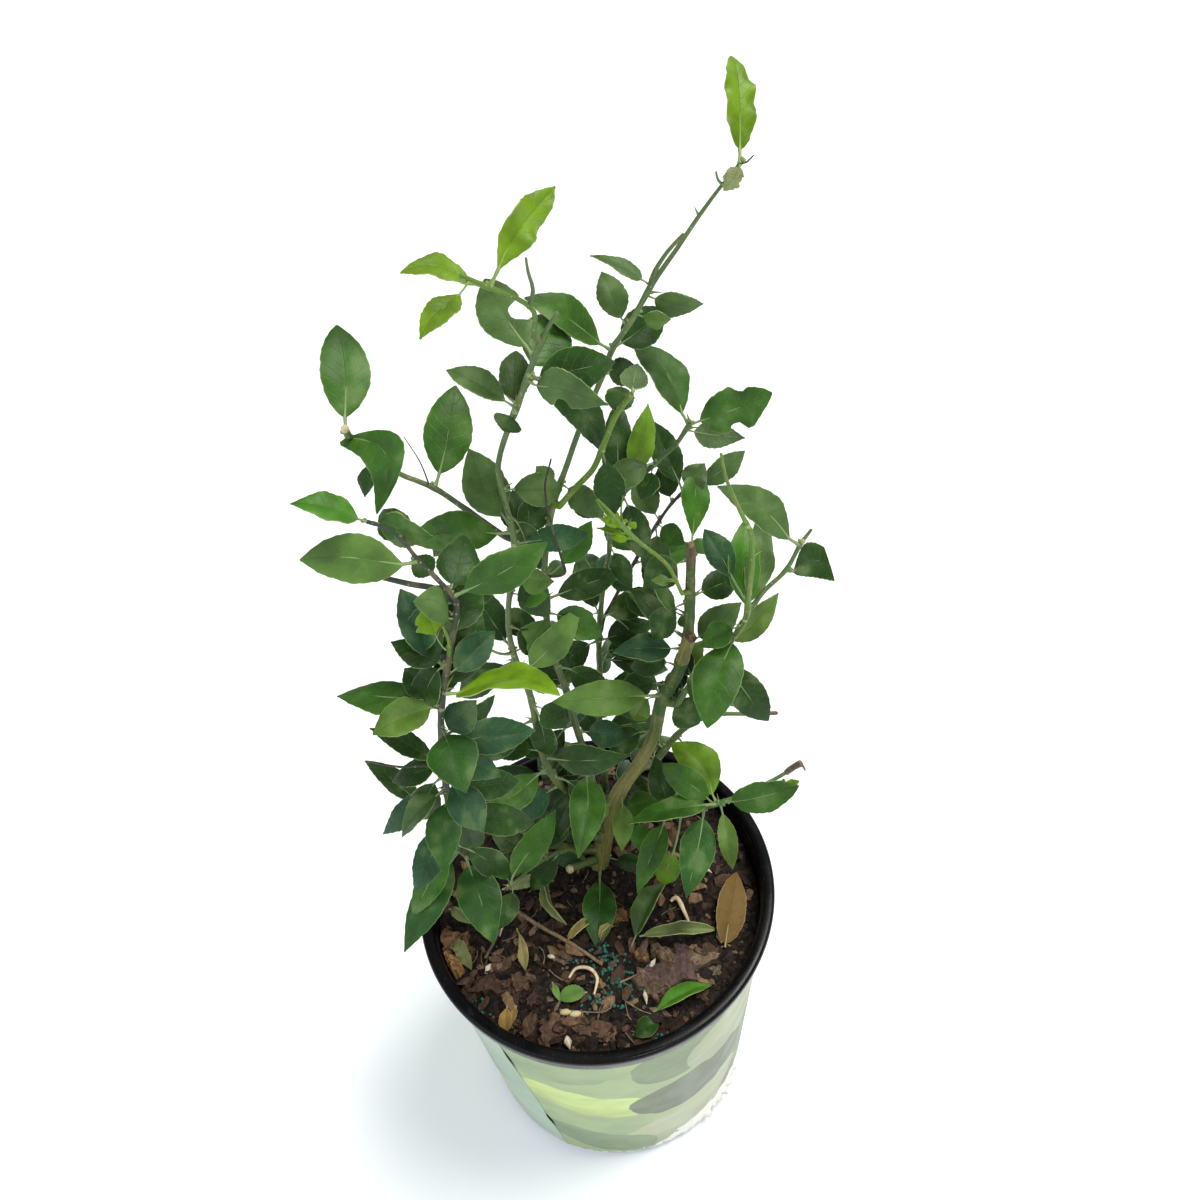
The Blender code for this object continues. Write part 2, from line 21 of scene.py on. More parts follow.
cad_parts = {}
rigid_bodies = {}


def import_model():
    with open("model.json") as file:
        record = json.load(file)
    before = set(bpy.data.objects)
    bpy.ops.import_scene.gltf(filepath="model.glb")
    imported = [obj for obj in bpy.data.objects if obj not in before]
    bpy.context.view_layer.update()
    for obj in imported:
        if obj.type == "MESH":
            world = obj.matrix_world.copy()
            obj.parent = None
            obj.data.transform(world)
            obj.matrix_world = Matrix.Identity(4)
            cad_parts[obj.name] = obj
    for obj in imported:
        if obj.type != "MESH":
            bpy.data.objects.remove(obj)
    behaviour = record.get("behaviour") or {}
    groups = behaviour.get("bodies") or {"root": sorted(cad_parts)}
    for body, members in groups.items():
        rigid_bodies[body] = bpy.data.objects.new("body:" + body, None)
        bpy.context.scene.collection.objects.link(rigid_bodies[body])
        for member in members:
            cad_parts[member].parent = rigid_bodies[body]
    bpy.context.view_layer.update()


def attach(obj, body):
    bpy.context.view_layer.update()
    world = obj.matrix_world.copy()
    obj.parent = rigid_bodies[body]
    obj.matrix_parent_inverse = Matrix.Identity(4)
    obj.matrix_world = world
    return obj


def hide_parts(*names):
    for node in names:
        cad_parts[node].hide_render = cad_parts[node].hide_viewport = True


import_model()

log = logging.getLogger("potted_limequat")

Point = tuple[float, float]
Colour = tuple[float, float, float]
Socket = bpy.types.NodeSocket
Value = "Socket | float | tuple"

MM = 0.001
BODY = "root"
UV_NAME = "grain"
TINT_NAME = "tint"

POT_HEIGHT = 185 * MM
RIM_RADIUS = 100 * MM
FOOT_RADIUS = 84 * MM
WALL = 1.6 * MM
FLOOR_THICKNESS = 3 * MM
LIP_DEPTH = 11 * MM
LIP_WIDTH = 6 * MM
FOOT_ROUND = 3 * MM
SLEEVE_BOTTOM = 6 * MM
SLEEVE_TOP = POT_HEIGHT - LIP_DEPTH - 2 * MM
SOIL_LEVEL = 168 * MM
SOIL_CROWN = 2 * MM
SOIL_SHAPE = ((0.0, 1.0), (0.35, 0.9), (0.7, 0.4), (1.0, -1.0))
ROOT_DEPTH = 22 * MM

EYE = Vector((19 * MM, -272 * MM, 640 * MM))
EYE_PITCH = math.radians(42.1)
EYE_ROLL = math.radians(-6.0)
PICTURE_CENTRE = 600.0
FOCAL_LENGTH = 900.0
SENSOR_WIDTH = 36.0

GAP = 0.3 * MM
STEM_STEP = 9 * MM
SKIN_STEP = 2.6 * MM
SMALL_WIDTH_SHARE = 0.94
INNER_LEAN = -18
INNER_STRETCH = 0.26
INNER_WIDTH_LIMIT = 0.31
SKIN_SHARE = 0.66
SKIN_SHARES = {"trunk": 0.67, "yellow_shoot": 0.76, "young_shoot": 0.6, "left_main_stem": 0.62}
BRANCH_FOOT = 0.6
AXIS_SHARE_DROPPED = 0.75
END_SHARE = 0.8
PETIOLE_HALF_WIDTH = 0.7 * MM
LEAF_ARCH = 0.07
LEAVING_SHARE = 0.18
FORWARD_SHARE = 0.08
ARCH_AT_PETIOLE = 0.6
ARCH_AT_BLADE = 1.6
BLADE_CONTROL_SHARE = 0.66
BLADE_THICKNESS = 0.4 * MM
BLADE_CELLS = (12, 26)
BACK_CELLS = (8, 16)


def srgb(red: float, green: float, blue: float) -> Colour:
    """A linear colour from display values between 0 and 255.

    Args:
        red: The red display value.
        green: The green display value.
        blue: The blue display value.

    Returns:
        The linear colour.
    """
    return tuple((v / 255 / 12.92 if v < 10.3 else ((v / 255 + 0.055) / 1.055) ** 2.4) for v in (red, green, blue))


class Tone(Enum):
    """The colours that a leaf's upper side can have."""

    DARK = srgb(33, 66, 15)
    MID = srgb(53, 95, 23)
    BRIGHT = srgb(61, 113, 22)
    BLUISH = srgb(40, 78, 46)
    OLIVE = srgb(76, 106, 32)
    GREY = srgb(72, 101, 48)
    LIGHT = srgb(88, 123, 50)
    LIME = srgb(104, 140, 12)
    YELLOWISH = srgb(96, 134, 24)
    WILTED = srgb(134, 144, 92)
    DEEP = srgb(40, 82, 24)
    BROWN = srgb(106, 82, 36)
    TAN = srgb(150, 118, 62)
    STRAW = srgb(176, 160, 98)
    DEAD = srgb(104, 110, 66)


class StemTone(Enum):
    """The colours that a stem's skin can have."""

    BARK = srgb(132, 130, 68)
    OLIVE = srgb(76, 92, 42)
    GREEN = srgb(64, 98, 38)
    PALE = srgb(88, 114, 60)
    DARK = srgb(48, 58, 42)
    BLACK = srgb(44, 38, 34)
    LIME = srgb(96, 132, 28)
    CREAM = srgb(206, 192, 150)
    SCAR = srgb(104, 86, 66)


@dataclass(frozen=True)
class Form:
    """How a leaf blade is shaped between its petiole and its tip.

    The skew moves the widest place, a fullness under 1 makes the ends blunt, the fold is the valley's slope in
    degrees, the camber droops the margins, and the wave ripples them. The bow bends the midrib sideways and the
    curl turns the tip down, both as shares of the length.
    """

    skew: float = 0.92
    fullness: float = 0.86
    fold: float = 19.0
    camber: float = 0.10
    wave: float = 0.05
    ripples: float = 2.3
    bow: float = 0.0
    curl: float = 0.04
    petiole: float = 0.12
    ragged: float = 0.02


OVAL = Form(fullness=0.92)
BROAD = Form(fullness=0.80, fold=10, camber=0.12, wave=0.03)
POINTED = Form(skew=0.80, fullness=1.0, fold=20)
TIPPED = Form(skew=0.74, fullness=0.98, fold=13, petiole=0.10)
ROUND = Form(skew=0.95, fullness=0.74, fold=12, petiole=0.10)
FOLDED = Form(fold=38, camber=0.05, wave=0.05, curl=0.08)
WAVY = Form(skew=0.95, fullness=0.62, fold=18, wave=0.32, ripples=3.8, ragged=0.16)
ROLLED = Form(fold=58, camber=-0.25, wave=0.16, ripples=2.7, curl=0.10, petiole=0.06, ragged=0.06)


@dataclass(frozen=True)
class Bite:
    """A notch in a blade's margin.

    The side is -1 or 1, the share is its place along the blade, the reach is its half length as a share, and the
    depth is the share of the half width that is gone.
    """

    side: int
    share: float
    reach: float
    depth: float


@dataclass(frozen=True)
class LeafPlan:
    """One leaf, from its foot on a stem to its tip, both as sight points.

    The width is in millimetres, the lean towards the eye and the twist about the midrib are in degrees, and the
    cut is the share of the length at which the blade ends. The bow is added to its form's.
    """

    stem: str
    foot: Point
    tip: Point
    width: float
    lean: float
    twist: float
    tone: Tone = Tone.MID
    form: Form = OVAL
    cut: float = 1.0
    bites: tuple[Bite, ...] = ()
    bow: float = 0.0


@dataclass(frozen=True)
class Sight:
    """A sight point of a stem, with its distance behind the pot's axis and the stem's radius, in metres."""

    across: float
    down: float
    behind: float
    radius: float


@dataclass(frozen=True)
class StemPlan:
    """One stem: its parent, its route, its colours from foot to end and whether its end was pruned."""

    name: str
    parent: str | None
    route: tuple[Sight, ...]
    low: StemTone = StemTone.GREEN
    high: StemTone = StemTone.GREEN
    pruned: bool = False


def stem(name: str, parent: str | None, *route: tuple, low: StemTone = StemTone.GREEN,
         high: StemTone = StemTone.GREEN, pruned: bool = False) -> StemPlan:
    """A stem's plan from points of (across, down, mm behind the axis, radius in mm)."""
    return StemPlan(name, parent, tuple(Sight(u, v, y * MM, r * MM) for u, v, y, r in route), low, high, pruned)


STEMS = (
    stem("trunk", None, (600, 880, 17, 8.5), (600, 866, 17, 8.0), (605, 838, 18, 6.6), (617, 796, 19, 5.8),
         (640, 762, 21, 5.2), (654, 735, 23, 5.0), (662, 700, 25, 4.8), (680, 668, 27, 4.6), (688, 635, 28, 4.5),
         (690, 590, 30, 4.3), (691, 545, 31, 4.0), low=StemTone.BARK, high=StemTone.GREEN, pruned=True),
    stem("left_main_stem", "trunk", (603, 838, 17, 3.4), (580, 805, 19, 3.3), (552, 775, 12, 3.0),
         (539, 738, 14, 2.8), (530, 695, 18, 2.5), (514, 655, 24, 2.2), (508, 618, 25, 2.1), (512, 575, 25, 2.0),
         (514, 540, 24, 1.9), (506, 505, 22, 1.8), (498, 469, 20, 1.8), (506, 435, 18, 1.8), (518, 404, 16, 1.9),
         (532, 365, 14, 1.6), (541, 340, 12, 1.5), (557, 313, 10, 1.1), low=StemTone.OLIVE, high=StemTone.PALE),
    stem("top_left_twig", "left_main_stem", (541, 338, 12, 1.3), (534, 312, 7, 1.3), (514, 297, 2, 1.2),
         (490, 288, -3, 1.1), (461, 276, -8, 0.9), low=StemTone.PALE, high=StemTone.LIME),
    stem("far_left_stem", "left_main_stem", (513, 548, 24, 1.9), (484, 522, 30, 1.9), (464, 508, 32, 1.8),
         (434, 488, 34, 1.7), (400, 474, 35, 1.6), (376, 458, 35, 1.5), (346, 433, 34, 1.4),
         low=StemTone.DARK, high=StemTone.PALE, pruned=True),
    stem("low_left_stem", "trunk", (599, 857, 15, 2.6), (562, 846, 14, 2.5), (515, 850, 2, 2.4),
         (478, 858, -19, 2.2), (456, 843, -35, 2.2), (447, 795, -43, 2.0), (441, 715, -42, 1.8),
         (450, 652, -38, 1.6), (456, 602, -32, 1.4), (441, 583, -30, 1.2), (418, 560, -27, 1.1),
         (403, 541, -24, 1.0), (385, 528, -21, 0.9), (368, 522, -18, 0.8), low=StemTone.OLIVE, high=StemTone.DARK),
    stem("cut_left_branch", "low_left_stem", (456, 602, -32, 1.6), (437, 589, -24, 1.7), (410, 584, -21, 1.7),
         (384, 578, -19, 1.5), low=StemTone.DARK, high=StemTone.DARK, pruned=True),
    stem("tall_stem", "trunk", (606, 826, 17, 2.8), (592, 780, 14, 2.7), (574, 720, 22, 2.6), (566, 690, 26, 2.5),
         (552, 650, 28, 2.3), (545, 600, 31, 2.2), (546, 545, 33, 2.1), (554, 503, 34, 2.0), (567, 465, 36, 1.8),
         (580, 428, 38, 1.7), (600, 382, 41, 1.6), (612, 350, 43, 1.5), (633, 318, 46, 1.5), (654, 281, 49, 1.5),
         (676, 250, 51, 1.3), (699, 216, 53, 1.2), (719, 189, 55, 1.0), (740, 164, 56, 0.8),
         low=StemTone.OLIVE, high=StemTone.PALE),
    stem("yellow_shoot", "tall_stem", (556, 506, 33, 1.6), (576, 487, 24, 1.6), (593, 469, 18, 1.5),
         (604, 444, 12, 1.5), (616, 415, 7, 1.3), (631, 395, 3, 1.1), low=StemTone.LIME, high=StemTone.LIME),
    stem("middle_stem", "trunk", (603, 835, 18, 2.6), (606, 790, 40, 2.6), (600, 735, 54, 2.5), (600, 680, 58, 2.3),
         (599, 635, 58, 2.1), (604, 580, 54, 1.7), (609, 553, 51, 1.6), (612, 510, 47, 1.6), (633, 484, 44, 1.5),
         (652, 466, 42, 1.5), (677, 443, 40, 1.5), (689, 425, 38, 1.3), low=StemTone.OLIVE),
    stem("dark_middle_twig", "middle_stem", (599, 640, 58, 1.2), (604, 618, 64, 1.2), (634, 563, 64, 1.2),
         (655, 527, 61, 1.1), (672, 503, 58, 1.1), (683, 492, 56, 0.9), low=StemTone.BLACK, high=StemTone.BLACK),
    stem("cut_right_branch", "trunk", (636, 768, 21, 3.0), (655, 762, 36, 3.0), (676, 736, 46, 2.7),
         (698, 720, 48, 2.2), (722, 714, 46, 1.8), (748, 714, 44, 1.7), (776, 713, 42, 1.7),
         low=StemTone.OLIVE, high=StemTone.PALE, pruned=True),
    stem("right_stem", "trunk", (663, 700, 25, 2.2), (692, 682, 19, 2.1), (724, 648, 12, 2.0), (745, 620, 8, 2.0),
         (748, 598, 5, 1.9), (752, 561, 2, 1.8), (750, 530, 0, 1.6), (742, 515, -2, 1.3), (726, 478, -5, 1.0),
         (721, 454, -8, 0.8), high=StemTone.LIME),
    stem("outer_right_stem", "right_stem", (747, 612, 7, 1.5), (765, 590, 11, 1.5), (786, 570, 14, 1.4),
         (800, 545, 17, 1.3), (811, 530, 19, 1.0), high=StemTone.PALE),
    stem("low_right_stem", "trunk", (612, 812, 18, 1.9), (640, 817, 10, 1.9), (680, 812, 0, 1.8),
         (720, 803, -8, 1.8), (752, 790, -2, 1.6), (775, 779, 4, 1.5), (797, 766, 9, 1.6), pruned=True),
    stem("young_shoot", "trunk", (688, 584, 30, 1.4), (668, 566, 18, 1.4), (648, 549, 9, 1.3), (630, 534, 1, 1.3),
         (612, 514, -6, 1.1), (598, 500, -11, 0.8), low=StemTone.LIME, high=StemTone.LIME),
    stem("low_shoot", "trunk", (602, 861, 15, 2.0), (572, 850, 3, 1.9), (548, 857, -5, 1.8), (526, 872, -12, 1.6),
         (507, 889, -18, 1.3), pruned=True),
)

NAMED_LEAVES = {
    "leaf_far_left_tip": LeafPlan("far_left_stem", (348, 434), (337, 323), 20, -18, 5, Tone.MID, BROAD, bow=0.03),
    "leaf_far_left_fold": LeafPlan("far_left_stem", (350, 428), (377, 514), 19, 10, 20, Tone.MID,
                                   Form(skew=0.66, fold=28, fullness=0.7, bow=-0.40, petiole=0.02, curl=0.0)),
    "leaf_far_left_upper": LeafPlan("far_left_stem", (436, 488), (456, 384), 20, -10, 0, Tone.MID, BROAD),
    "leaf_left_point": LeafPlan("low_left_stem", (368, 522), (290, 502), 15, 20, 48, Tone.BRIGHT, POINTED),
    "leaf_left_long": LeafPlan("left_main_stem", (511, 532), (406, 541), 18, 18, 12, Tone.MID, OVAL, bow=0.05),
    "leaf_left_outer": LeafPlan("low_left_stem", (418, 560), (298, 560), 18, 0, 0, Tone.LIGHT, OVAL, bow=0.04),
    "leaf_left_glossy": LeafPlan("low_left_stem", (455, 592), (548, 543), 15.5, 20, 20, Tone.MID, OVAL),
    "leaf_left_inner": LeafPlan("left_main_stem", (511, 528), (469, 448), 20, 15, 15, Tone.GREY, OVAL, bow=-0.05),
    "leaf_top_notched": LeafPlan("left_main_stem", (534, 360), (484, 277), 18, -22, 10, Tone.GREY, BROAD,
                                 bites=(Bite(1, 0.42, 0.12, 0.8),), bow=-0.02),
    "leaf_lime_twisted": LeafPlan("top_left_twig", (492, 288), (557, 185), 12, -10, 15, Tone.LIME,
                                  Form(skew=1.0, fullness=1.05, fold=24, wave=0.34, ripples=1.9, bow=-0.05)),
    "leaf_lime_folded": LeafPlan("top_left_twig", (483, 281), (400, 272), 9.5, 10, 42, Tone.LIME,
                                 Form(fold=24, curl=0.02, wave=0.08, bow=0.15)),
    "leaf_lime_small": LeafPlan("top_left_twig", (470, 280), (419, 338), 10, 25, 35, Tone.LIME, replace(POINTED, petiole=0.24)),
    "leaf_top_middle": LeafPlan("tall_stem", (611, 352), (525, 296), 18, 25, 42, Tone.MID, OVAL, bow=0.02),
    "leaf_top_lower": LeafPlan("left_main_stem", (526, 381), (607, 406), 15, 28, 30, Tone.GREY, TIPPED,
                               bites=(Bite(1, 0.42, 0.10, 0.5),), bow=-0.10),
    "leaf_crown": LeafPlan("tall_stem", (740, 164), (733, 53), 13, -5, 35, Tone.LIME, WAVY),
    "leaf_right_arched": LeafPlan("middle_stem", (689, 425), (632, 341), 18, -12, 35, Tone.MID, OVAL, bow=0.07),
    "leaf_right_bitten": LeafPlan("middle_stem", (689, 425), (773, 393), 19, 12, 10, Tone.MID,
                                  replace(BROAD, ragged=0.08, wave=0.12),
                                  bites=(Bite(-1, 0.62, 0.08, 0.28), Bite(1, 0.45, 0.10, 0.4))),
    "leaf_outer_right": LeafPlan("outer_right_stem", (798, 545), (718, 486), 16, 22, 14, Tone.GREY, OVAL, bow=0.08),
    "leaf_outer_right_cut": LeafPlan("outer_right_stem", (787, 569), (856, 556), 17, -12, 0, Tone.DARK,
                                     replace(BROAD, ragged=0.0, wave=0.0, bow=-0.12), cut=0.62),
    "leaf_right_upright": LeafPlan("right_stem", (749, 610), (763, 510), 17, -30, 40, Tone.GREY, replace(OVAL, petiole=0.04)),
    "leaf_right_side": LeafPlan("right_stem", (731, 651), (780, 593), 16, -12, 40, Tone.OLIVE, POINTED),
    "leaf_right_broad": LeafPlan("right_stem", (735, 640), (707, 728), 22, 22, 5, Tone.MID, replace(BROAD, petiole=0.03), bow=0.04),
    "leaf_middle_pale": LeafPlan("trunk", (664, 695), (552, 702), 19, 20, 0, Tone.LIGHT, OVAL),
    "leaf_low_left_reach": LeafPlan("low_left_stem", (441, 704), (335, 694), 17, -12, 40, Tone.MID, TIPPED, bow=-0.05),
    "leaf_low_left_olive": LeafPlan("low_left_stem", (441, 704), (372, 734), 16, 22, 25, Tone.OLIVE, OVAL),
    "leaf_low_left_broad": LeafPlan("low_left_stem", (442, 726), (466, 793), 20, 28, 0, Tone.DEEP, TIPPED),
    "leaf_centre_left": LeafPlan("left_main_stem", (549, 764), (484, 819), 17, 25, 10, Tone.MID, OVAL),
    "leaf_centre_right": LeafPlan("left_main_stem", (547, 757), (629, 757), 17, 35, 25, Tone.DARK, TIPPED),
    "leaf_centre_hanging": LeafPlan("tall_stem", (593, 764), (578, 858), 19, 35, 5, Tone.MID, POINTED, bow=-0.04),
    "leaf_low_left_hanging": LeafPlan("low_left_stem", (446, 792), (443, 872), 16, 20, 10, Tone.DEEP, POINTED),
    "leaf_low_left_outer": LeafPlan("low_left_stem", (450, 842), (364, 757), 13, -20, 30, Tone.DARK, replace(POINTED, petiole=0.38)),
    "leaf_rim_left": LeafPlan("low_left_stem", (456, 852), (403, 953), 18, 5, 20, Tone.DEEP, TIPPED),
    "leaf_rim_broad": LeafPlan("low_left_stem", (461, 862), (494, 945), 21, 15, 0, Tone.DEEP, TIPPED),
    "leaf_low_shoot": LeafPlan("low_shoot", (512, 884), (556, 810), 16, 12, 15, Tone.MID, OVAL),
    "leaf_trunk_foot": LeafPlan("trunk", (598, 862), (597, 948), 20, 38, 0, Tone.DEEP, OVAL),
    "leaf_low_right_hanging": LeafPlan("low_right_stem", (705, 807), (686, 899), 18, 12, 0, Tone.DEEP, TIPPED),
    "leaf_low_right_outer": LeafPlan("low_right_stem", (726, 801), (799, 786), 17, 28, 20, Tone.MID,
                                     replace(OVAL, wave=0.10, fullness=0.72), bites=(Bite(-1, 0.93, 0.08, 0.6),)),
    "leaf_low_right_lime": LeafPlan("low_right_stem", (716, 804), (672, 742), 20, -20, 10, Tone.YELLOWISH, ROUND, bow=0.13),
}


def leaves_of(stem_name: str, *rows: tuple) -> tuple[LeafPlan, ...]:
    """The small leaves of one stem, from rows of a leaf plan's values after the stem's name."""
    return tuple(LeafPlan(stem_name, *row) for row in rows)


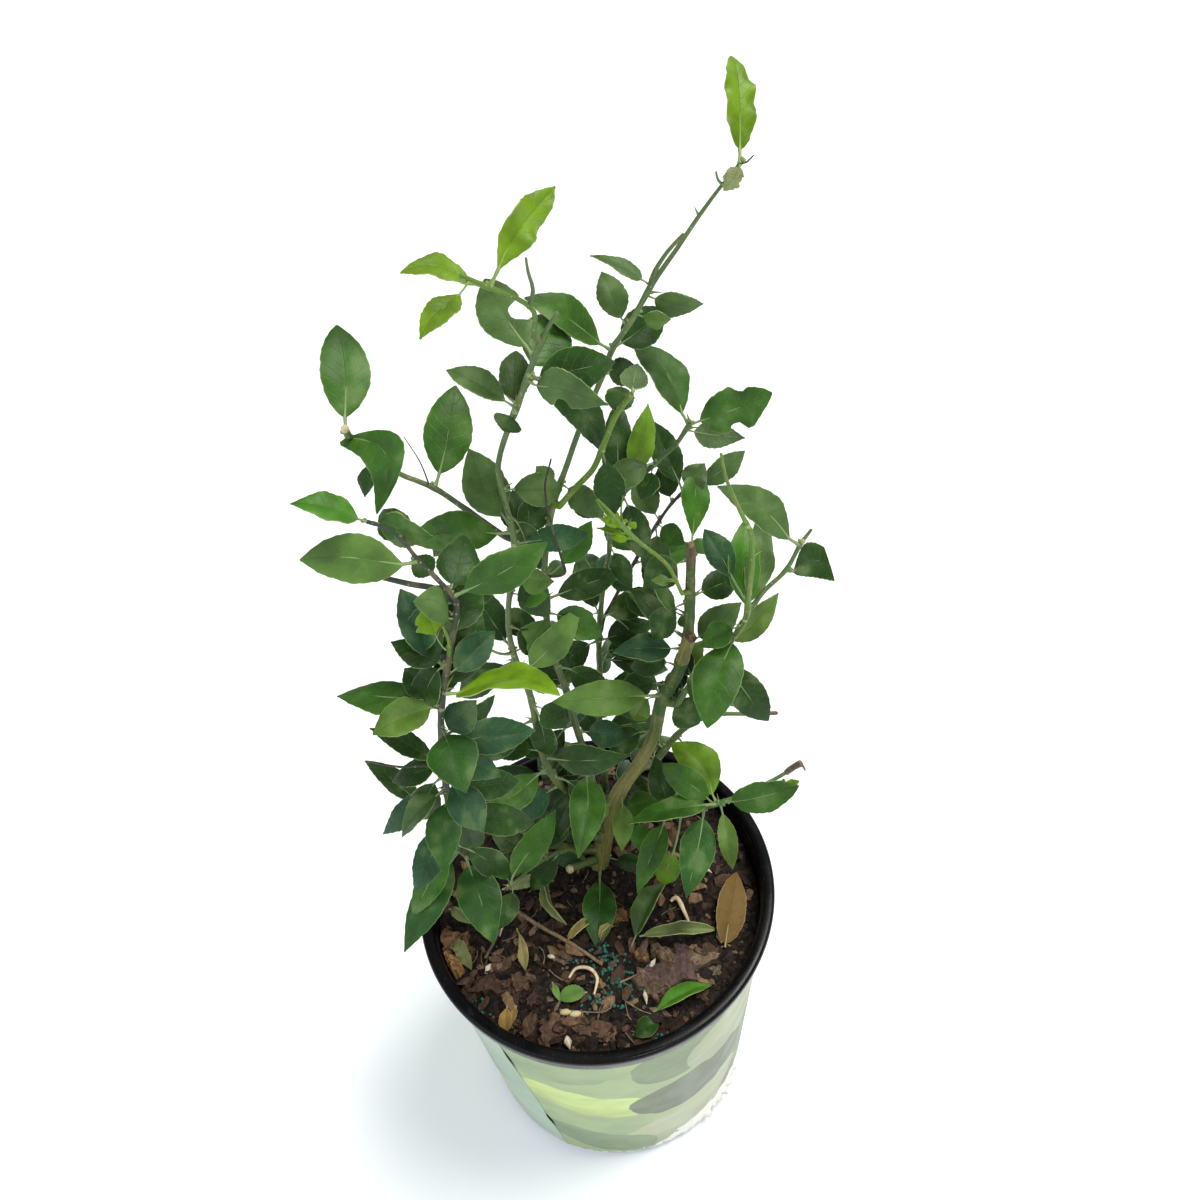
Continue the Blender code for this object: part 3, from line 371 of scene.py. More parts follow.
SMALL_LEAVES = (
    *leaves_of("far_left_stem",
               ((376, 459), (364, 497), 12, 0, 50, Tone.DARK), ((470, 512), (440, 548), 15, -30, 20, Tone.DARK)),
    *leaves_of("low_left_stem",
               ((368, 522), (433, 538), 16, 0, 40, Tone.MID, TIPPED), ((452, 560), (421, 557), 10, -20, 0, Tone.DARK),
               ((450, 592), (462, 545), 16, -35, 0, Tone.DARK), ((446, 672), (400, 588), 17, -10, 10, Tone.BLUISH),
               ((451, 652), (423, 607), 12, 20, 10, Tone.LIME, Form(petiole=0.42, fullness=1.1, ragged=0.5), 1.0,
                (Bite(1, 0.6, 0.1, 0.5),)),
               ((446, 668), (390, 641), 13, -10, 20, Tone.DARK), ((441, 706), (404, 668), 14, -15, 0, Tone.DARK),
               ((443, 766), (369, 727), 12, -10, 30, Tone.DARK), ((442, 706), (445, 648), 12, -25, 30, Tone.DARK),
               ((446, 690), (475, 625), 16, -35, 20, Tone.DARK, TIPPED),
               ((450, 676), (486, 640), 14, -30, 0, Tone.BLUISH), ((444, 735), (470, 707), 14, -20, 0, Tone.BLUISH),
               ((444, 738), (486, 704), 10, -40, 40, Tone.DARK), ((448, 745), (519, 733), 16, -20, 0, Tone.BLUISH),
               ((446, 752), (502, 777), 14, -10, 0, Tone.BLUISH), ((446, 776), (484, 831), 17, 10, 0, Tone.BLUISH),
               ((446, 789), (401, 837), 14, 0, 40, Tone.GREY), ((447, 792), (395, 826), 12, -20, 10, Tone.BLUISH),
               ((446, 792), (505, 783), 14, -30, 10, Tone.DARK), ((448, 815), (518, 822), 16, -30, 0, Tone.DARK),
               ((445, 770), (402, 779), 13, -20, 30, Tone.DARK), ((446, 712), (404, 716), 11, -30, 10, Tone.DARK),
               ((449, 818), (414, 893), 16, 0, 0, Tone.BLUISH, TIPPED),
               ((452, 840), (411, 918), 15, -8, 10, Tone.MID, TIPPED),
               ((452, 602), (418, 641), 15, -45, 20, Tone.BLUISH), ((450, 640), (470, 590), 15, -50, 0, Tone.DARK),
               ((448, 668), (424, 706), 14, -40, 30, Tone.DARK), ((446, 778), (426, 812), 14, -45, 0, Tone.DARK),
               ((455, 845), (500, 868), 14, -40, 20, Tone.DARK), ((447, 806), (470, 842), 14, -50, 20, Tone.DARK)),
    *leaves_of("left_main_stem",
               ((508, 405), (446, 369), 14, 0, 35, Tone.GREY), ((511, 408), (515, 361), 12, -30, 0, Tone.GREY, ROUND),
               ((509, 409), (503, 431), 12, 20, 0, Tone.DARK, ROUND),
               ((538, 378), (556, 326), 19, -40, 0, Tone.MID, BROAD),
               ((543, 378), (591, 438), 14, -40, 0, Tone.DARK, OVAL, 1.0, (), -0.10),
               ((536, 384), (601, 366), 17, -35, 0, Tone.DARK),
               ((508, 492), (552, 490), 15, -30, 0, Tone.GREY), ((508, 540), (512, 500), 14, -20, 10, Tone.DARK),
               ((512, 538), (547, 502), 14, -35, 0, Tone.DARK), ((512, 545), (573, 536), 12, -25, 0, Tone.BLUISH),
               ((513, 585), (459, 592), 18, -30, 0, Tone.DARK, BROAD), ((511, 580), (542, 610), 15, -30, 0, Tone.DARK),
               ((513, 592), (548, 596), 12, 10, 0, Tone.BRIGHT), ((513, 575), (554, 582), 14, 15, 20, Tone.LIGHT),
               ((504, 656), (416, 601), 17, 50, 15, Tone.GREY, replace(TIPPED, petiole=0.34)),
               ((506, 650), (476, 600), 17, -25, 0, Tone.DARK, BROAD),
               ((506, 655), (549, 619), 16, 15, 10, Tone.LIGHT, TIPPED),
               ((520, 672), (583, 604), 18, 20, 25, Tone.LIGHT, OVAL, 0.86),
               ((527, 700), (544, 745), 14, -30, 20, Tone.DARK), ((531, 722), (488, 754), 16, -25, 0, Tone.DARK),
               ((531, 708), (567, 728), 15, -10, 10, Tone.DARK), ((516, 660), (470, 690), 15, -30, 0, Tone.DARK),
               ((541, 750), (500, 749), 13, -30, 10, Tone.DARK), ((545, 765), (524, 736), 13, -30, 0, Tone.DARK),
               ((552, 778), (590, 800), 15, -40, 20, Tone.DARK), ((560, 785), (520, 812), 17, -25, 0, Tone.BLUISH),
               ((548, 772), (476, 793), 15, -30, 20, Tone.DARK), ((524, 690), (560, 660), 14, -50, 0, Tone.DARK),
               ((574, 800), (512, 806), 16, -35, 0, Tone.BLUISH), ((568, 794), (545, 752), 15, -30, 0, Tone.DARK),
               ((582, 808), (534, 842), 16, -40, 10, Tone.DARK), ((509, 628), (536, 650), 14, -45, 10, Tone.DARK), ((506, 520), (530, 560), 14, -55, 0, Tone.DARK)),
    *leaves_of("tall_stem",
               ((650, 284), (590, 254), 9, 0, 50, Tone.GREY, replace(POINTED, skew=0.62)), ((628, 326), (601, 270), 13, -15, 10, Tone.GREY),
               ((646, 296), (704, 305), 13, -15, 40, Tone.GREY), ((634, 310), (671, 320), 10, 0, 45, Tone.LIGHT),
               ((615, 348), (655, 316), 16, -35, 0, Tone.DARK), ((548, 520), (510, 498), 14, -30, 0, Tone.DARK),
               ((556, 482), (604, 519), 13, 0, 20, Tone.GREY, TIPPED),
               ((556, 486), (540, 470), 12, -20, 0, Tone.GREY), ((548, 575), (592, 521), 13, 10, 15, Tone.BRIGHT,
                replace(OVAL, petiole=0.28)),
               ((546, 575), (533, 541), 13, -40, 0, Tone.DARK), ((545, 600), (606, 578), 15, -30, 0, Tone.DARK),
               ((546, 612), (592, 632), 16, -20, 0, Tone.MID), ((549, 640), (508, 618), 14, -40, 0, Tone.DARK),
               ((558, 668), (600, 690), 15, -30, 20, Tone.DARK), ((566, 690), (530, 676), 13, -40, 0, Tone.DARK),
               ((572, 716), (610, 700), 15, -30, 0, Tone.DARK), ((573, 722), (548, 768), 14, -35, 10, Tone.DARK),
               ((576, 735), (618, 738), 15, -25, 0, Tone.BLUISH), ((588, 775), (556, 800), 15, -40, 0, Tone.DARK),
               ((592, 782), (560, 830), 15, -30, 20, Tone.DARK), ((604, 378), (632, 372), 12, -50, 0, Tone.DARK),
               ((740, 166), (724, 191), 7, 0, 0, Tone.WILTED, replace(ROUND, petiole=0.02, ragged=0.5))),
    *leaves_of("yellow_shoot",
               ((631, 397), (636, 371), 21, -35, 180, Tone.GREY, ROUND),
               ((618, 420), (621, 392), 15, -65, 0, Tone.DARK), ((601, 452), (611, 503), 13, -20, 10, Tone.DARK)),
    *leaves_of("middle_stem",
               ((634, 482), (649, 403), 14, -10, 25, Tone.YELLOWISH), ((620, 497), (618, 396), 16, -10, 0, Tone.DARK),
               ((655, 463), (603, 485), 14, 10, 20, Tone.GREY), ((652, 468), (641, 500), 14, 0, 30, Tone.DARK),
               ((689, 430), (745, 438), 12, -10, 180, Tone.GREY), ((612, 520), (580, 500), 14, -40, 0, Tone.DARK),
               ((610, 548), (632, 590), 12, 0, 30, Tone.DARK, POINTED), ((601, 616), (576, 560), 14, -15, 10, Tone.DARK, BROAD), ((604, 580), (634, 589), 7, 0, 30, Tone.DARK, POINTED),
               ((620, 492), (645, 562), 15, -15, 10, Tone.DARK), ((600, 642), (655, 622), 17, -15, 0, Tone.DARK),
               ((600, 660), (655, 668), 15, -20, 0, Tone.DARK), ((601, 700), (640, 676), 15, -25, 0, Tone.DARK),
               ((600, 612), (576, 626), 14, -30, 0, Tone.DARK), ((600, 618), (640, 600), 15, -25, 0, Tone.DARK),
               ((599, 640), (560, 668), 16, -20, 0, Tone.DARK, ROUND), ((599, 655), (648, 640), 16, -30, 0, Tone.DARK),
               ((600, 690), (640, 712), 15, -25, 0, Tone.DARK), ((600, 700), (564, 722), 15, -30, 0, Tone.BLUISH),
               ((603, 730), (650, 722), 16, -30, 0, Tone.DARK), ((604, 745), (586, 712), 14, -30, 10, Tone.DARK),
               ((606, 775), (640, 790), 14, -40, 0, Tone.DARK), ((606, 790), (585, 822), 14, -50, 0, Tone.DARK)),
    *leaves_of("dark_middle_twig",
               ((683, 492), (654, 421), 15, -15, 0, Tone.DARK), ((683, 492), (705, 463), 14, 0, 0, Tone.GREY),
               ((682, 494), (746, 451), 14, 0, 30, Tone.GREY, replace(OVAL, petiole=0.32)), ((660, 520), (634, 478), 15, -10, 10, Tone.GREY),
               ((655, 528), (652, 570), 15, -20, 0, Tone.GREY),
               ((657, 524), (685, 545), 13, 0, 20, Tone.MID), ((622, 588), (678, 610), 13, -5, 0, Tone.GREY),
               ((672, 503), (664, 470), 12, -20, 0, Tone.DARK), ((645, 545), (655, 590), 13, -30, 0, Tone.DARK), ((640, 555), (612, 528), 13, -30, 0, Tone.MID),
               ((634, 563), (682, 548), 15, -20, 0, Tone.MID), ((620, 590), (655, 612), 15, -25, 0, Tone.DARK),
               ((607, 612), (650, 660), 14, -40, 0, Tone.DARK)),
    *leaves_of("trunk",
               ((698, 556), (695, 469), 15, -12, 20, Tone.BRIGHT, replace(OVAL, petiole=0.17, skew=1.35)), ((690, 562), (652, 582), 16, -20, 0, Tone.DARK),
               ((688, 600), (660, 632), 14, -25, 10, Tone.DARK), ((680, 668), (640, 668), 14, -35, 0, Tone.DARK), ((692, 598), (733, 578), 14, -30, 0, Tone.DARK),
               ((690, 645), (742, 602), 17, -12, 0, Tone.GREY, TIPPED), ((688, 640), (630, 588), 14, -10, 30, Tone.DARK),
               ((686, 650), (612, 652), 17, 10, 30, Tone.BLUISH, TIPPED), ((689, 618), (651, 581), 10, 20, 40, Tone.MID),
               ((668, 700), (700, 724), 19, 0, 0, Tone.DARK, ROUND), ((676, 680), (698, 648), 12, -20, 0, Tone.OLIVE),
               ((664, 696), (640, 716), 14, -30, 0, Tone.OLIVE), ((668, 690), (628, 690), 15, -30, 0, Tone.DARK),
               ((655, 732), (618, 750), 15, -35, 0, Tone.DARK), ((624, 790), (622, 851), 12, 25, 0, Tone.OLIVE),
               ((620, 800), (596, 818), 10, 20, 20, Tone.LIGHT), ((604, 850), (552, 859), 16, 0, 0, Tone.BLUISH, ROUND),
               ((598, 855), (645, 863), 12, 15, 20, Tone.DARK), ((612, 815), (634, 840), 12, 0, 0, Tone.MID)),
    *leaves_of("right_stem",
               ((745, 603), (704, 528), 14, -16, 10, Tone.BLUISH, replace(OVAL, petiole=0.34)),
               ((748, 612), (745, 519), 18, -12, 25, Tone.BRIGHT, replace(OVAL, petiole=0.03), 1.0, (), -0.06),
               ((743, 628), (700, 647), 14, -10, 20, Tone.MID, TIPPED), ((720, 662), (769, 722), 19, -15, 10, Tone.DARK, BROAD),
               ((724, 650), (697, 690), 14, -35, 0, Tone.DARK), ((708, 668), (735, 700), 15, -45, 0, Tone.DARK)),
    *leaves_of("cut_right_branch", ((676, 736), (700, 770), 14, -30, 10, Tone.DARK)),
    *leaves_of("low_right_stem",
               ((722, 806), (733, 870), 11, 10, 0, Tone.OLIVE), ((716, 805), (628, 822), 16, 10, 40, Tone.MID), ((752, 790), (799, 782), 7, 40, 30, Tone.YELLOWISH, replace(WAVY, petiole=0.5)),
               ((712, 803), (662, 764), 16, 10, 0, Tone.MID, ROUND), ((668, 806), (655, 756), 17, -10, 0, Tone.DARK),
               ((622, 806), (660, 800), 16, 20, -20, Tone.MID), ((664, 816), (637, 894), 15, 10, 10, Tone.MID, TIPPED),
               ((680, 812), (663, 886), 15, -10, 0, Tone.YELLOWISH, replace(ROUND, petiole=0.52)), ((640, 818), (640, 852), 12, 0, 0, Tone.BRIGHT)),
    *leaves_of("young_shoot",
               ((628, 533), (596, 499), 5.5, 5, 30, Tone.LIME, POINTED), ((624, 530), (598, 517), 3.5, 0, 20, Tone.LIME, POINTED),
               ((628, 534), (597, 528), 3, 5, 20, Tone.LIME, POINTED), ((632, 541), (611, 538), 3.5, 10, 10, Tone.LIME),
               ((628, 532), (636, 522), 3.5, 0, 0, Tone.LIME), ((622, 528), (626, 519), 2.5, 0, 30, Tone.LIME, POINTED),
               ((616, 521), (606, 522), 2.5, 10, 0, Tone.LIME, POINTED), ((680, 578), (651, 580), 6, 0, 30, Tone.LIGHT)),
    *leaves_of("low_shoot",
               ((509, 886), (494, 933), 13, 10, 0, Tone.DARK), ((512, 884), (486, 848), 12, 0, 10, Tone.MID),
               ((540, 862), (500, 836), 15, -40, 0, Tone.DARK), ((560, 852), (536, 884), 13, -30, 0, Tone.DARK),
               ((548, 857), (562, 822), 16, -35, 0, Tone.DARK), ((530, 868), (494, 868), 14, -30, 0, Tone.DARK)),
    *leaves_of("low_left_stem",
               ((454, 619), (414, 601), 14, 40, 12, Tone.GREY, replace(BROAD, petiole=0.05), 1.0, (), 0.2)),
)

ARCHED_LEAF = LeafPlan("low_left_stem", (446, 690), (560, 693), 19, 25, -56, Tone.LIME,
                       Form(skew=0.74, fold=26, fullness=0.74, curl=0.03, wave=0.06, ripples=3.0, bow=-0.15, petiole=0.1))


class SightPicture:
    """The square picture in which the plant is set out, seen from the eye."""

    def __init__(self) -> None:
        """Works out the picture's directions from the eye's pitch and roll."""
        self.forward = Vector((0, math.cos(EYE_PITCH), -math.sin(EYE_PITCH)))
        right = Vector((1, 0, 0))
        down = self.forward.cross(right)
        self.across = math.cos(EYE_ROLL) * right - math.sin(EYE_ROLL) * down
        self.below = math.sin(EYE_ROLL) * right + math.cos(EYE_ROLL) * down

    def line(self, point: Point) -> Vector:
        """The direction from the eye through a sight point, one unit deep."""
        u = (point[0] - PICTURE_CENTRE) / FOCAL_LENGTH
        v = (point[1] - PICTURE_CENTRE) / FOCAL_LENGTH
        return self.forward + u * self.across + v * self.below

    def behind(self, point: Point, distance: float) -> Vector:
        """The place on a sight line that is this far behind the pot's axis."""
        line = self.line(point)
        return EYE + line * ((distance - EYE.y) / line.y)

    def on_level(self, point: Point, level: float) -> Vector:
        """The place where a sight line meets a level plane."""
        line = self.line(point)
        return EYE + line * ((level - EYE.z) / line.z)

    def seen(self, place: Vector) -> Point:
        """The sight point at which a place is seen."""
        offset = place - EYE
        scale = FOCAL_LENGTH / offset.dot(self.forward)
        return PICTURE_CENTRE + offset.dot(self.across) * scale, PICTURE_CENTRE + offset.dot(self.below) * scale


PICTURE = SightPicture()


@dataclass
class Route:
    """A smooth curve through space, as places and the radius at each."""

    places: list[Vector]
    radii: list[float]

    @classmethod
    def smooth(cls, points: Sequence[Vector], radii: Sequence[float], step: float) -> "Route":
        """A smooth route through the points, with a place every step or so.

        Args:
            points: The places that the curve passes through.
            radii: The radius at each of them.
            step: The distance between the route's places, in metres.

        Returns:
            The route.
        """
        padded = [2 * points[0] - points[1], *points, 2 * points[-1] - points[-2]]
        places, widths = [points[0]], [radii[0]]
        for index in range(len(points) - 1):
            p0, p1, p2, p3 = padded[index : index + 4]
            pieces = max(1, round((p2 - p1).length / step))
            for piece in range(1, pieces + 1):
                t = piece / pieces
                square = 2 * p0 - 5 * p1 + 4 * p2 - p3
                cube = 3 * p1 - p0 - 3 * p2 + p3
                places.append(p1 + 0.5 * ((p2 - p0) * t + square * t**2 + cube * t**3))
                widths.append(radii[index] * (1 - t) + radii[index + 1] * t)
        return cls(places, widths)

    def nearest(self, point: Vector) -> int:
        """The index of the place nearest to a point."""
        return min(range(len(self.places)), key=lambda i: (self.places[i] - point).length)

    def under_sight(self, point: Point) -> tuple[Vector, Vector, float, bool]:
        """Finds where the route passes nearest to a sight line.

        Args:
            point: The sight point.

        Returns:
            The place, the route's direction and radius there, and whether it is the free end.
        """
        line = PICTURE.line(point).normalized()
        best: tuple | None = None
        for index in range(len(self.places) - 1):
            for share in (0.0, 0.25, 0.5, 0.75, 1.0):
                place = self.places[index].lerp(self.places[index + 1], share)
                offset = (place - EYE) - line * (place - EYE).dot(line)
                if best is None or offset.length < best[0] - 1e-9:
                    axis = (self.places[index + 1] - self.places[index]).normalized()
                    radius = self.radii[index] * (1 - share) + self.radii[index + 1] * share
                    at_end = index == len(self.places) - 2 and share == 1.0
                    best = (offset.length, place, axis, radius, at_end)
        return best[1:]


def leave_surface(place: Vector, axis: Vector, radius: float, towards: Vector, foot: float) -> tuple[Vector, Vector]:
    """Where and how a piece that grows towards a place leaves a stem's skin.

    Args:
        place: The place on the stem's axis.
        axis: The stem's direction there.
        radius: The stem's radius there.
        towards: The place that the piece grows towards.
        foot: The radius of the piece's own foot.

    Returns:
        The start on the skin and the direction that the piece leaves in.
    """
    aim = (towards - place).normalized()
    outward = aim - AXIS_SHARE_DROPPED * aim.dot(axis) * axis
    outward.normalize()
    slope = abs(outward.dot(axis))
    rise = math.sqrt(max(1e-6, 1 - slope**2))
    return place + outward * ((radius + GAP + foot * slope) / rise), outward


@dataclass
class Midrib:
    """A leaf's centre line as a cubic Bezier curve, with the direction that its upper side faces."""

    points: tuple[Vector, Vector, Vector, Vector]
    upper: Vector
    root: Vector | None = None

    def at(self, t: float) -> tuple[Vector, Vector]:
        """The place at a share of the curve, and the direction there."""
        a, b, c, d = self.points
        s = 1 - t
        place = a * s**3 + b * (3 * s * s * t) + c * (3 * s * t * t) + d * t**3
        slope = (b - a) * (3 * s * s) + (c - b) * (6 * s * t) + (d - c) * (3 * t * t)
        return place, slope.normalized()

    @classmethod
    def grown(cls, plan: LeafPlan, route: Route) -> "Midrib":
        """The midrib of a leaf that grows from a stem, as the frame's leaves have it.

        Args:
            plan: The leaf's plan.
            route: Its stem's route.

        Returns:
            The midrib, from the stem's skin to the leaf's tip.
        """
        place, axis, radius, at_end = route.under_sight(plan.foot)
        depth = (place - EYE).dot(PICTURE.forward)
        seen = math.dist(plan.foot, plan.tip) * depth / FOCAL_LENGTH
        tip = EYE + PICTURE.line(plan.tip) * (depth - seen * math.tan(math.radians(plan.lean)))
        if at_end and (tip - place).dot(axis) > 0:
            outward = (tip - place).normalized()
            start = place + outward * (GAP + radius * END_SHARE)
        else:
            start, outward = leave_surface(place, axis, radius, tip, PETIOLE_HALF_WIDTH)
        span = tip - start
        to_eye = (EYE - start.lerp(tip, 0.5)).normalized()
        upper = (to_eye - to_eye.project(span)).normalized()
        upper = Matrix.Rotation(math.radians(plan.twist), 3, span.normalized()) @ upper
        rise = upper * (span.length * LEAF_ARCH)
        first = start + outward * (span.length * LEAVING_SHARE) + span * FORWARD_SHARE + rise * ARCH_AT_PETIOLE
        second = start + span * BLADE_CONTROL_SHARE + rise * ARCH_AT_BLADE
        return cls((start, first, second, tip), upper, place)

    @classmethod
    def laid(cls, start: Vector, tip: Vector, rise: float, turn: float) -> "Midrib":
        """The midrib of a fallen leaf that lies from one place to another.

        Args:
            start: The foot's place.
            tip: The tip's place.
            rise: The height of the arch between them, in metres.
            turn: The roll about the midrib, in degrees.

        Returns:
            The midrib.
        """
        span = tip - start
        upper = Vector((0, 0, 1)) - Vector((0, 0, 1)).project(span)
        upper = Matrix.Rotation(math.radians(turn), 3, span.normalized()) @ upper.normalized()
        lift = Vector((0, 0, rise))
        return cls((start, start + span * 0.33 + lift, start + span * 0.66 + lift, tip), upper)


class Piece:
    """A visual piece under construction: one mesh with a UV map and a tint on its points."""

    def __init__(self, name: str, *finishes: bpy.types.Material) -> None:
        """Starts an empty piece.

        Args:
            name: The piece's name.
            finishes: Its materials, in slot order.
        """
        self.name = name
        self.finishes = finishes
        self.mesh = bmesh.new()
        self.uv = self.mesh.loops.layers.uv.new(UV_NAME)
        self.tint = self.mesh.verts.layers.float_color.new(TINT_NAME)

    def sheet(self, cells: tuple[int, int], shape: Callable[[float, float], Vector], uv_scale: Point = (1.0, 1.0),
              slot: int = 0) -> tuple[list, list]:
        """Adds a grid of faces whose points a function places.

        Args:
            cells: The number of faces across and along.
            shape: Gives the place of a point from its shares across and along.
            uv_scale: What the shares are multiplied by in the UV map.
            slot: The material slot of the faces.

        Returns:
            The new vertices and faces.
        """
        verts = bmesh.ops.create_grid(self.mesh, x_segments=cells[0], y_segments=cells[1], size=0.5)["verts"]
        shares = {vert: (vert.co.x + 0.5, vert.co.y + 0.5) for vert in verts}
        faces = list({face for vert in verts for face in vert.link_faces})
        for face in faces:
            face.material_index = slot
            face.smooth = True
            for loop in face.loops:
                u, v = shares[loop.vert]
                loop[self.uv].uv = (u * uv_scale[0], v * uv_scale[1])
        for vert, (u, v) in shares.items():
            vert.co = shape(u, v)
        return verts, faces

    def paint(self, verts: Iterable, colour: Colour, gloss: float = 0.5) -> None:
        """Sets the tint of the vertices, with the gloss as its fourth value."""
        for vert in verts:
            vert[self.tint] = (*colour, gloss)

    def tube(self, route: Route, sides: int, colour: Colour | Callable[[float], Colour], slot: int = 0,
             lump: float = 0.0, seed: float = 0.0, cap_slot: int | None = None, ridge: float = 0.0) -> list:
        """Adds a closed tube along a route.

        Args:
            route: The tube's centre line and radii.
            sides: The number of sides.
            colour: The tint, or a function that gives it by the share along.
            slot: The material slot.
            lump: How much the skin swells and sinks, as a share of the radius.
            seed: Moves the pattern of the swelling.
            cap_slot: The material slot of the ends, where it isn't the tube's.
            ridge: How high its lengthwise ridges are, as a share of the radius.

        Returns:
            The tube's faces.
        """
        frames = route_frames(route.places)
        steps = len(route.places) - 1

        def place(u: float, v: float) -> Vector:
            index = round(v * steps)
            normal, binormal = frames[index]
            angle = math.tau * u
            out = math.cos(angle) * normal + math.sin(angle) * binormal
            centre = route.places[index]
            swell = lump * noise.noise((centre + out * route.radii[index] * 2) * 260 + Vector((seed, 0, 0)))
            swell += ridge * noise.noise(Vector((out.x * 2.6, out.y * 2.6, centre.z * 28 + seed)))
            return centre + out * (route.radii[index] * (1 + swell))

        length = sum((b - a).length for a, b in zip(route.places, route.places[1:]))
        verts, faces = self.sheet((sides, steps), place, (1.0, length / (20 * MM)), slot)
        for vert in verts:
            share = vert.link_loops[0][self.uv].uv.y / (length / (20 * MM))
            self.paint((vert,), colour(share) if callable(colour) else colour)
        bmesh.ops.remove_doubles(self.mesh, verts=verts, dist=1e-7)
        faces = [face for face in faces if face.is_valid]
        rims = [edge for edge in {e for face in faces for e in face.edges} if len(edge.link_faces) == 1]
        caps = bmesh.ops.holes_fill(self.mesh, edges=rims, sides=sides)["faces"]
        for cap in caps:
            cap.material_index = slot if cap_slot is None else cap_slot
            cap.smooth = False
            for edge in cap.edges:
                edge.smooth = False
        faces += caps
        bmesh.ops.recalc_face_normals(self.mesh, faces=faces)
        return faces

    def blob(self, centre: Vector, size: Vector, colour: Colour, slot: int = 0, detail: int = 1, turn: Matrix | None = None,
             rough: float = 0.0) -> None:
        """Adds a rounded lump.

        Args:
            centre: Its middle.
            size: Its half sizes along its own axes.
            colour: Its tint.
            slot: Its material slot.
            detail: The icosphere's subdivisions.
            turn: Its rotation.
            rough: How far its points are pushed in and out, as a share of its size.
        """
        made = bmesh.ops.create_icosphere(self.mesh, subdivisions=detail, radius=1.0)["verts"]
        turned = turn or Matrix.Identity(3)
        for vert in made:
            push = 1 + rough * noise.noise(vert.co * 1.7 + centre * 900)
            vert.co = centre + turned @ Vector(a * b * push for a, b in zip(vert.co, size))
        faces = {face for vert in made for face in vert.link_faces}
        for face in faces:
            face.material_index = slot
            face.smooth = rough == 0
            for loop in face.loops:
                loop[self.uv].uv = (loop.vert.co.x * 50, loop.vert.co.y * 50)
        self.paint(made, colour)

    def finish(self, *nodes: str, slot: str | None = None) -> bpy.types.Object:
        """Makes the piece's object, which rides on the plant's one body.

        Args:
            nodes: The frame's nodes that it stands for.
            slot: The record's material slot; it is not used.

        Returns:
            The object.
        """
        data = bpy.data.meshes.new(self.name)
        self.mesh.to_mesh(data)
        self.mesh.free()
        for finish in self.finishes:
            data.materials.append(finish)
        obj = bpy.data.objects.new(self.name, data)
        bpy.context.scene.collection.objects.link(obj)
        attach(obj, BODY)
        if nodes:
            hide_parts(*nodes)
        log.info("%s: %d faces", self.name, len(data.polygons))
        return obj


def route_frames(places: Sequence[Vector]) -> list[tuple[Vector, Vector]]:
    """Two directions across a route at each place, carried along it without twisting.

    Args:
        places: The route's places.

    Returns:
        A pair of directions for each place.
    """
    frames = []
    normal = None
    for index, place in enumerate(places):
        before = places[max(0, index - 1)]
        after = places[min(len(places) - 1, index + 1)]
        along = (after - before).normalized()
        if normal is None:
            normal = along.orthogonal().normalized()
        normal = (normal - along * normal.dot(along)).normalized()
        frames.append((normal, along.cross(normal)))
    return frames


def lighter(colour: Colour, share: float, towards: Colour = (0.42, 0.55, 0.24)) -> Colour:
    """A colour moved by a share towards another."""
    return tuple(a * (1 - share) + b * share for a, b in zip(colour, towards))


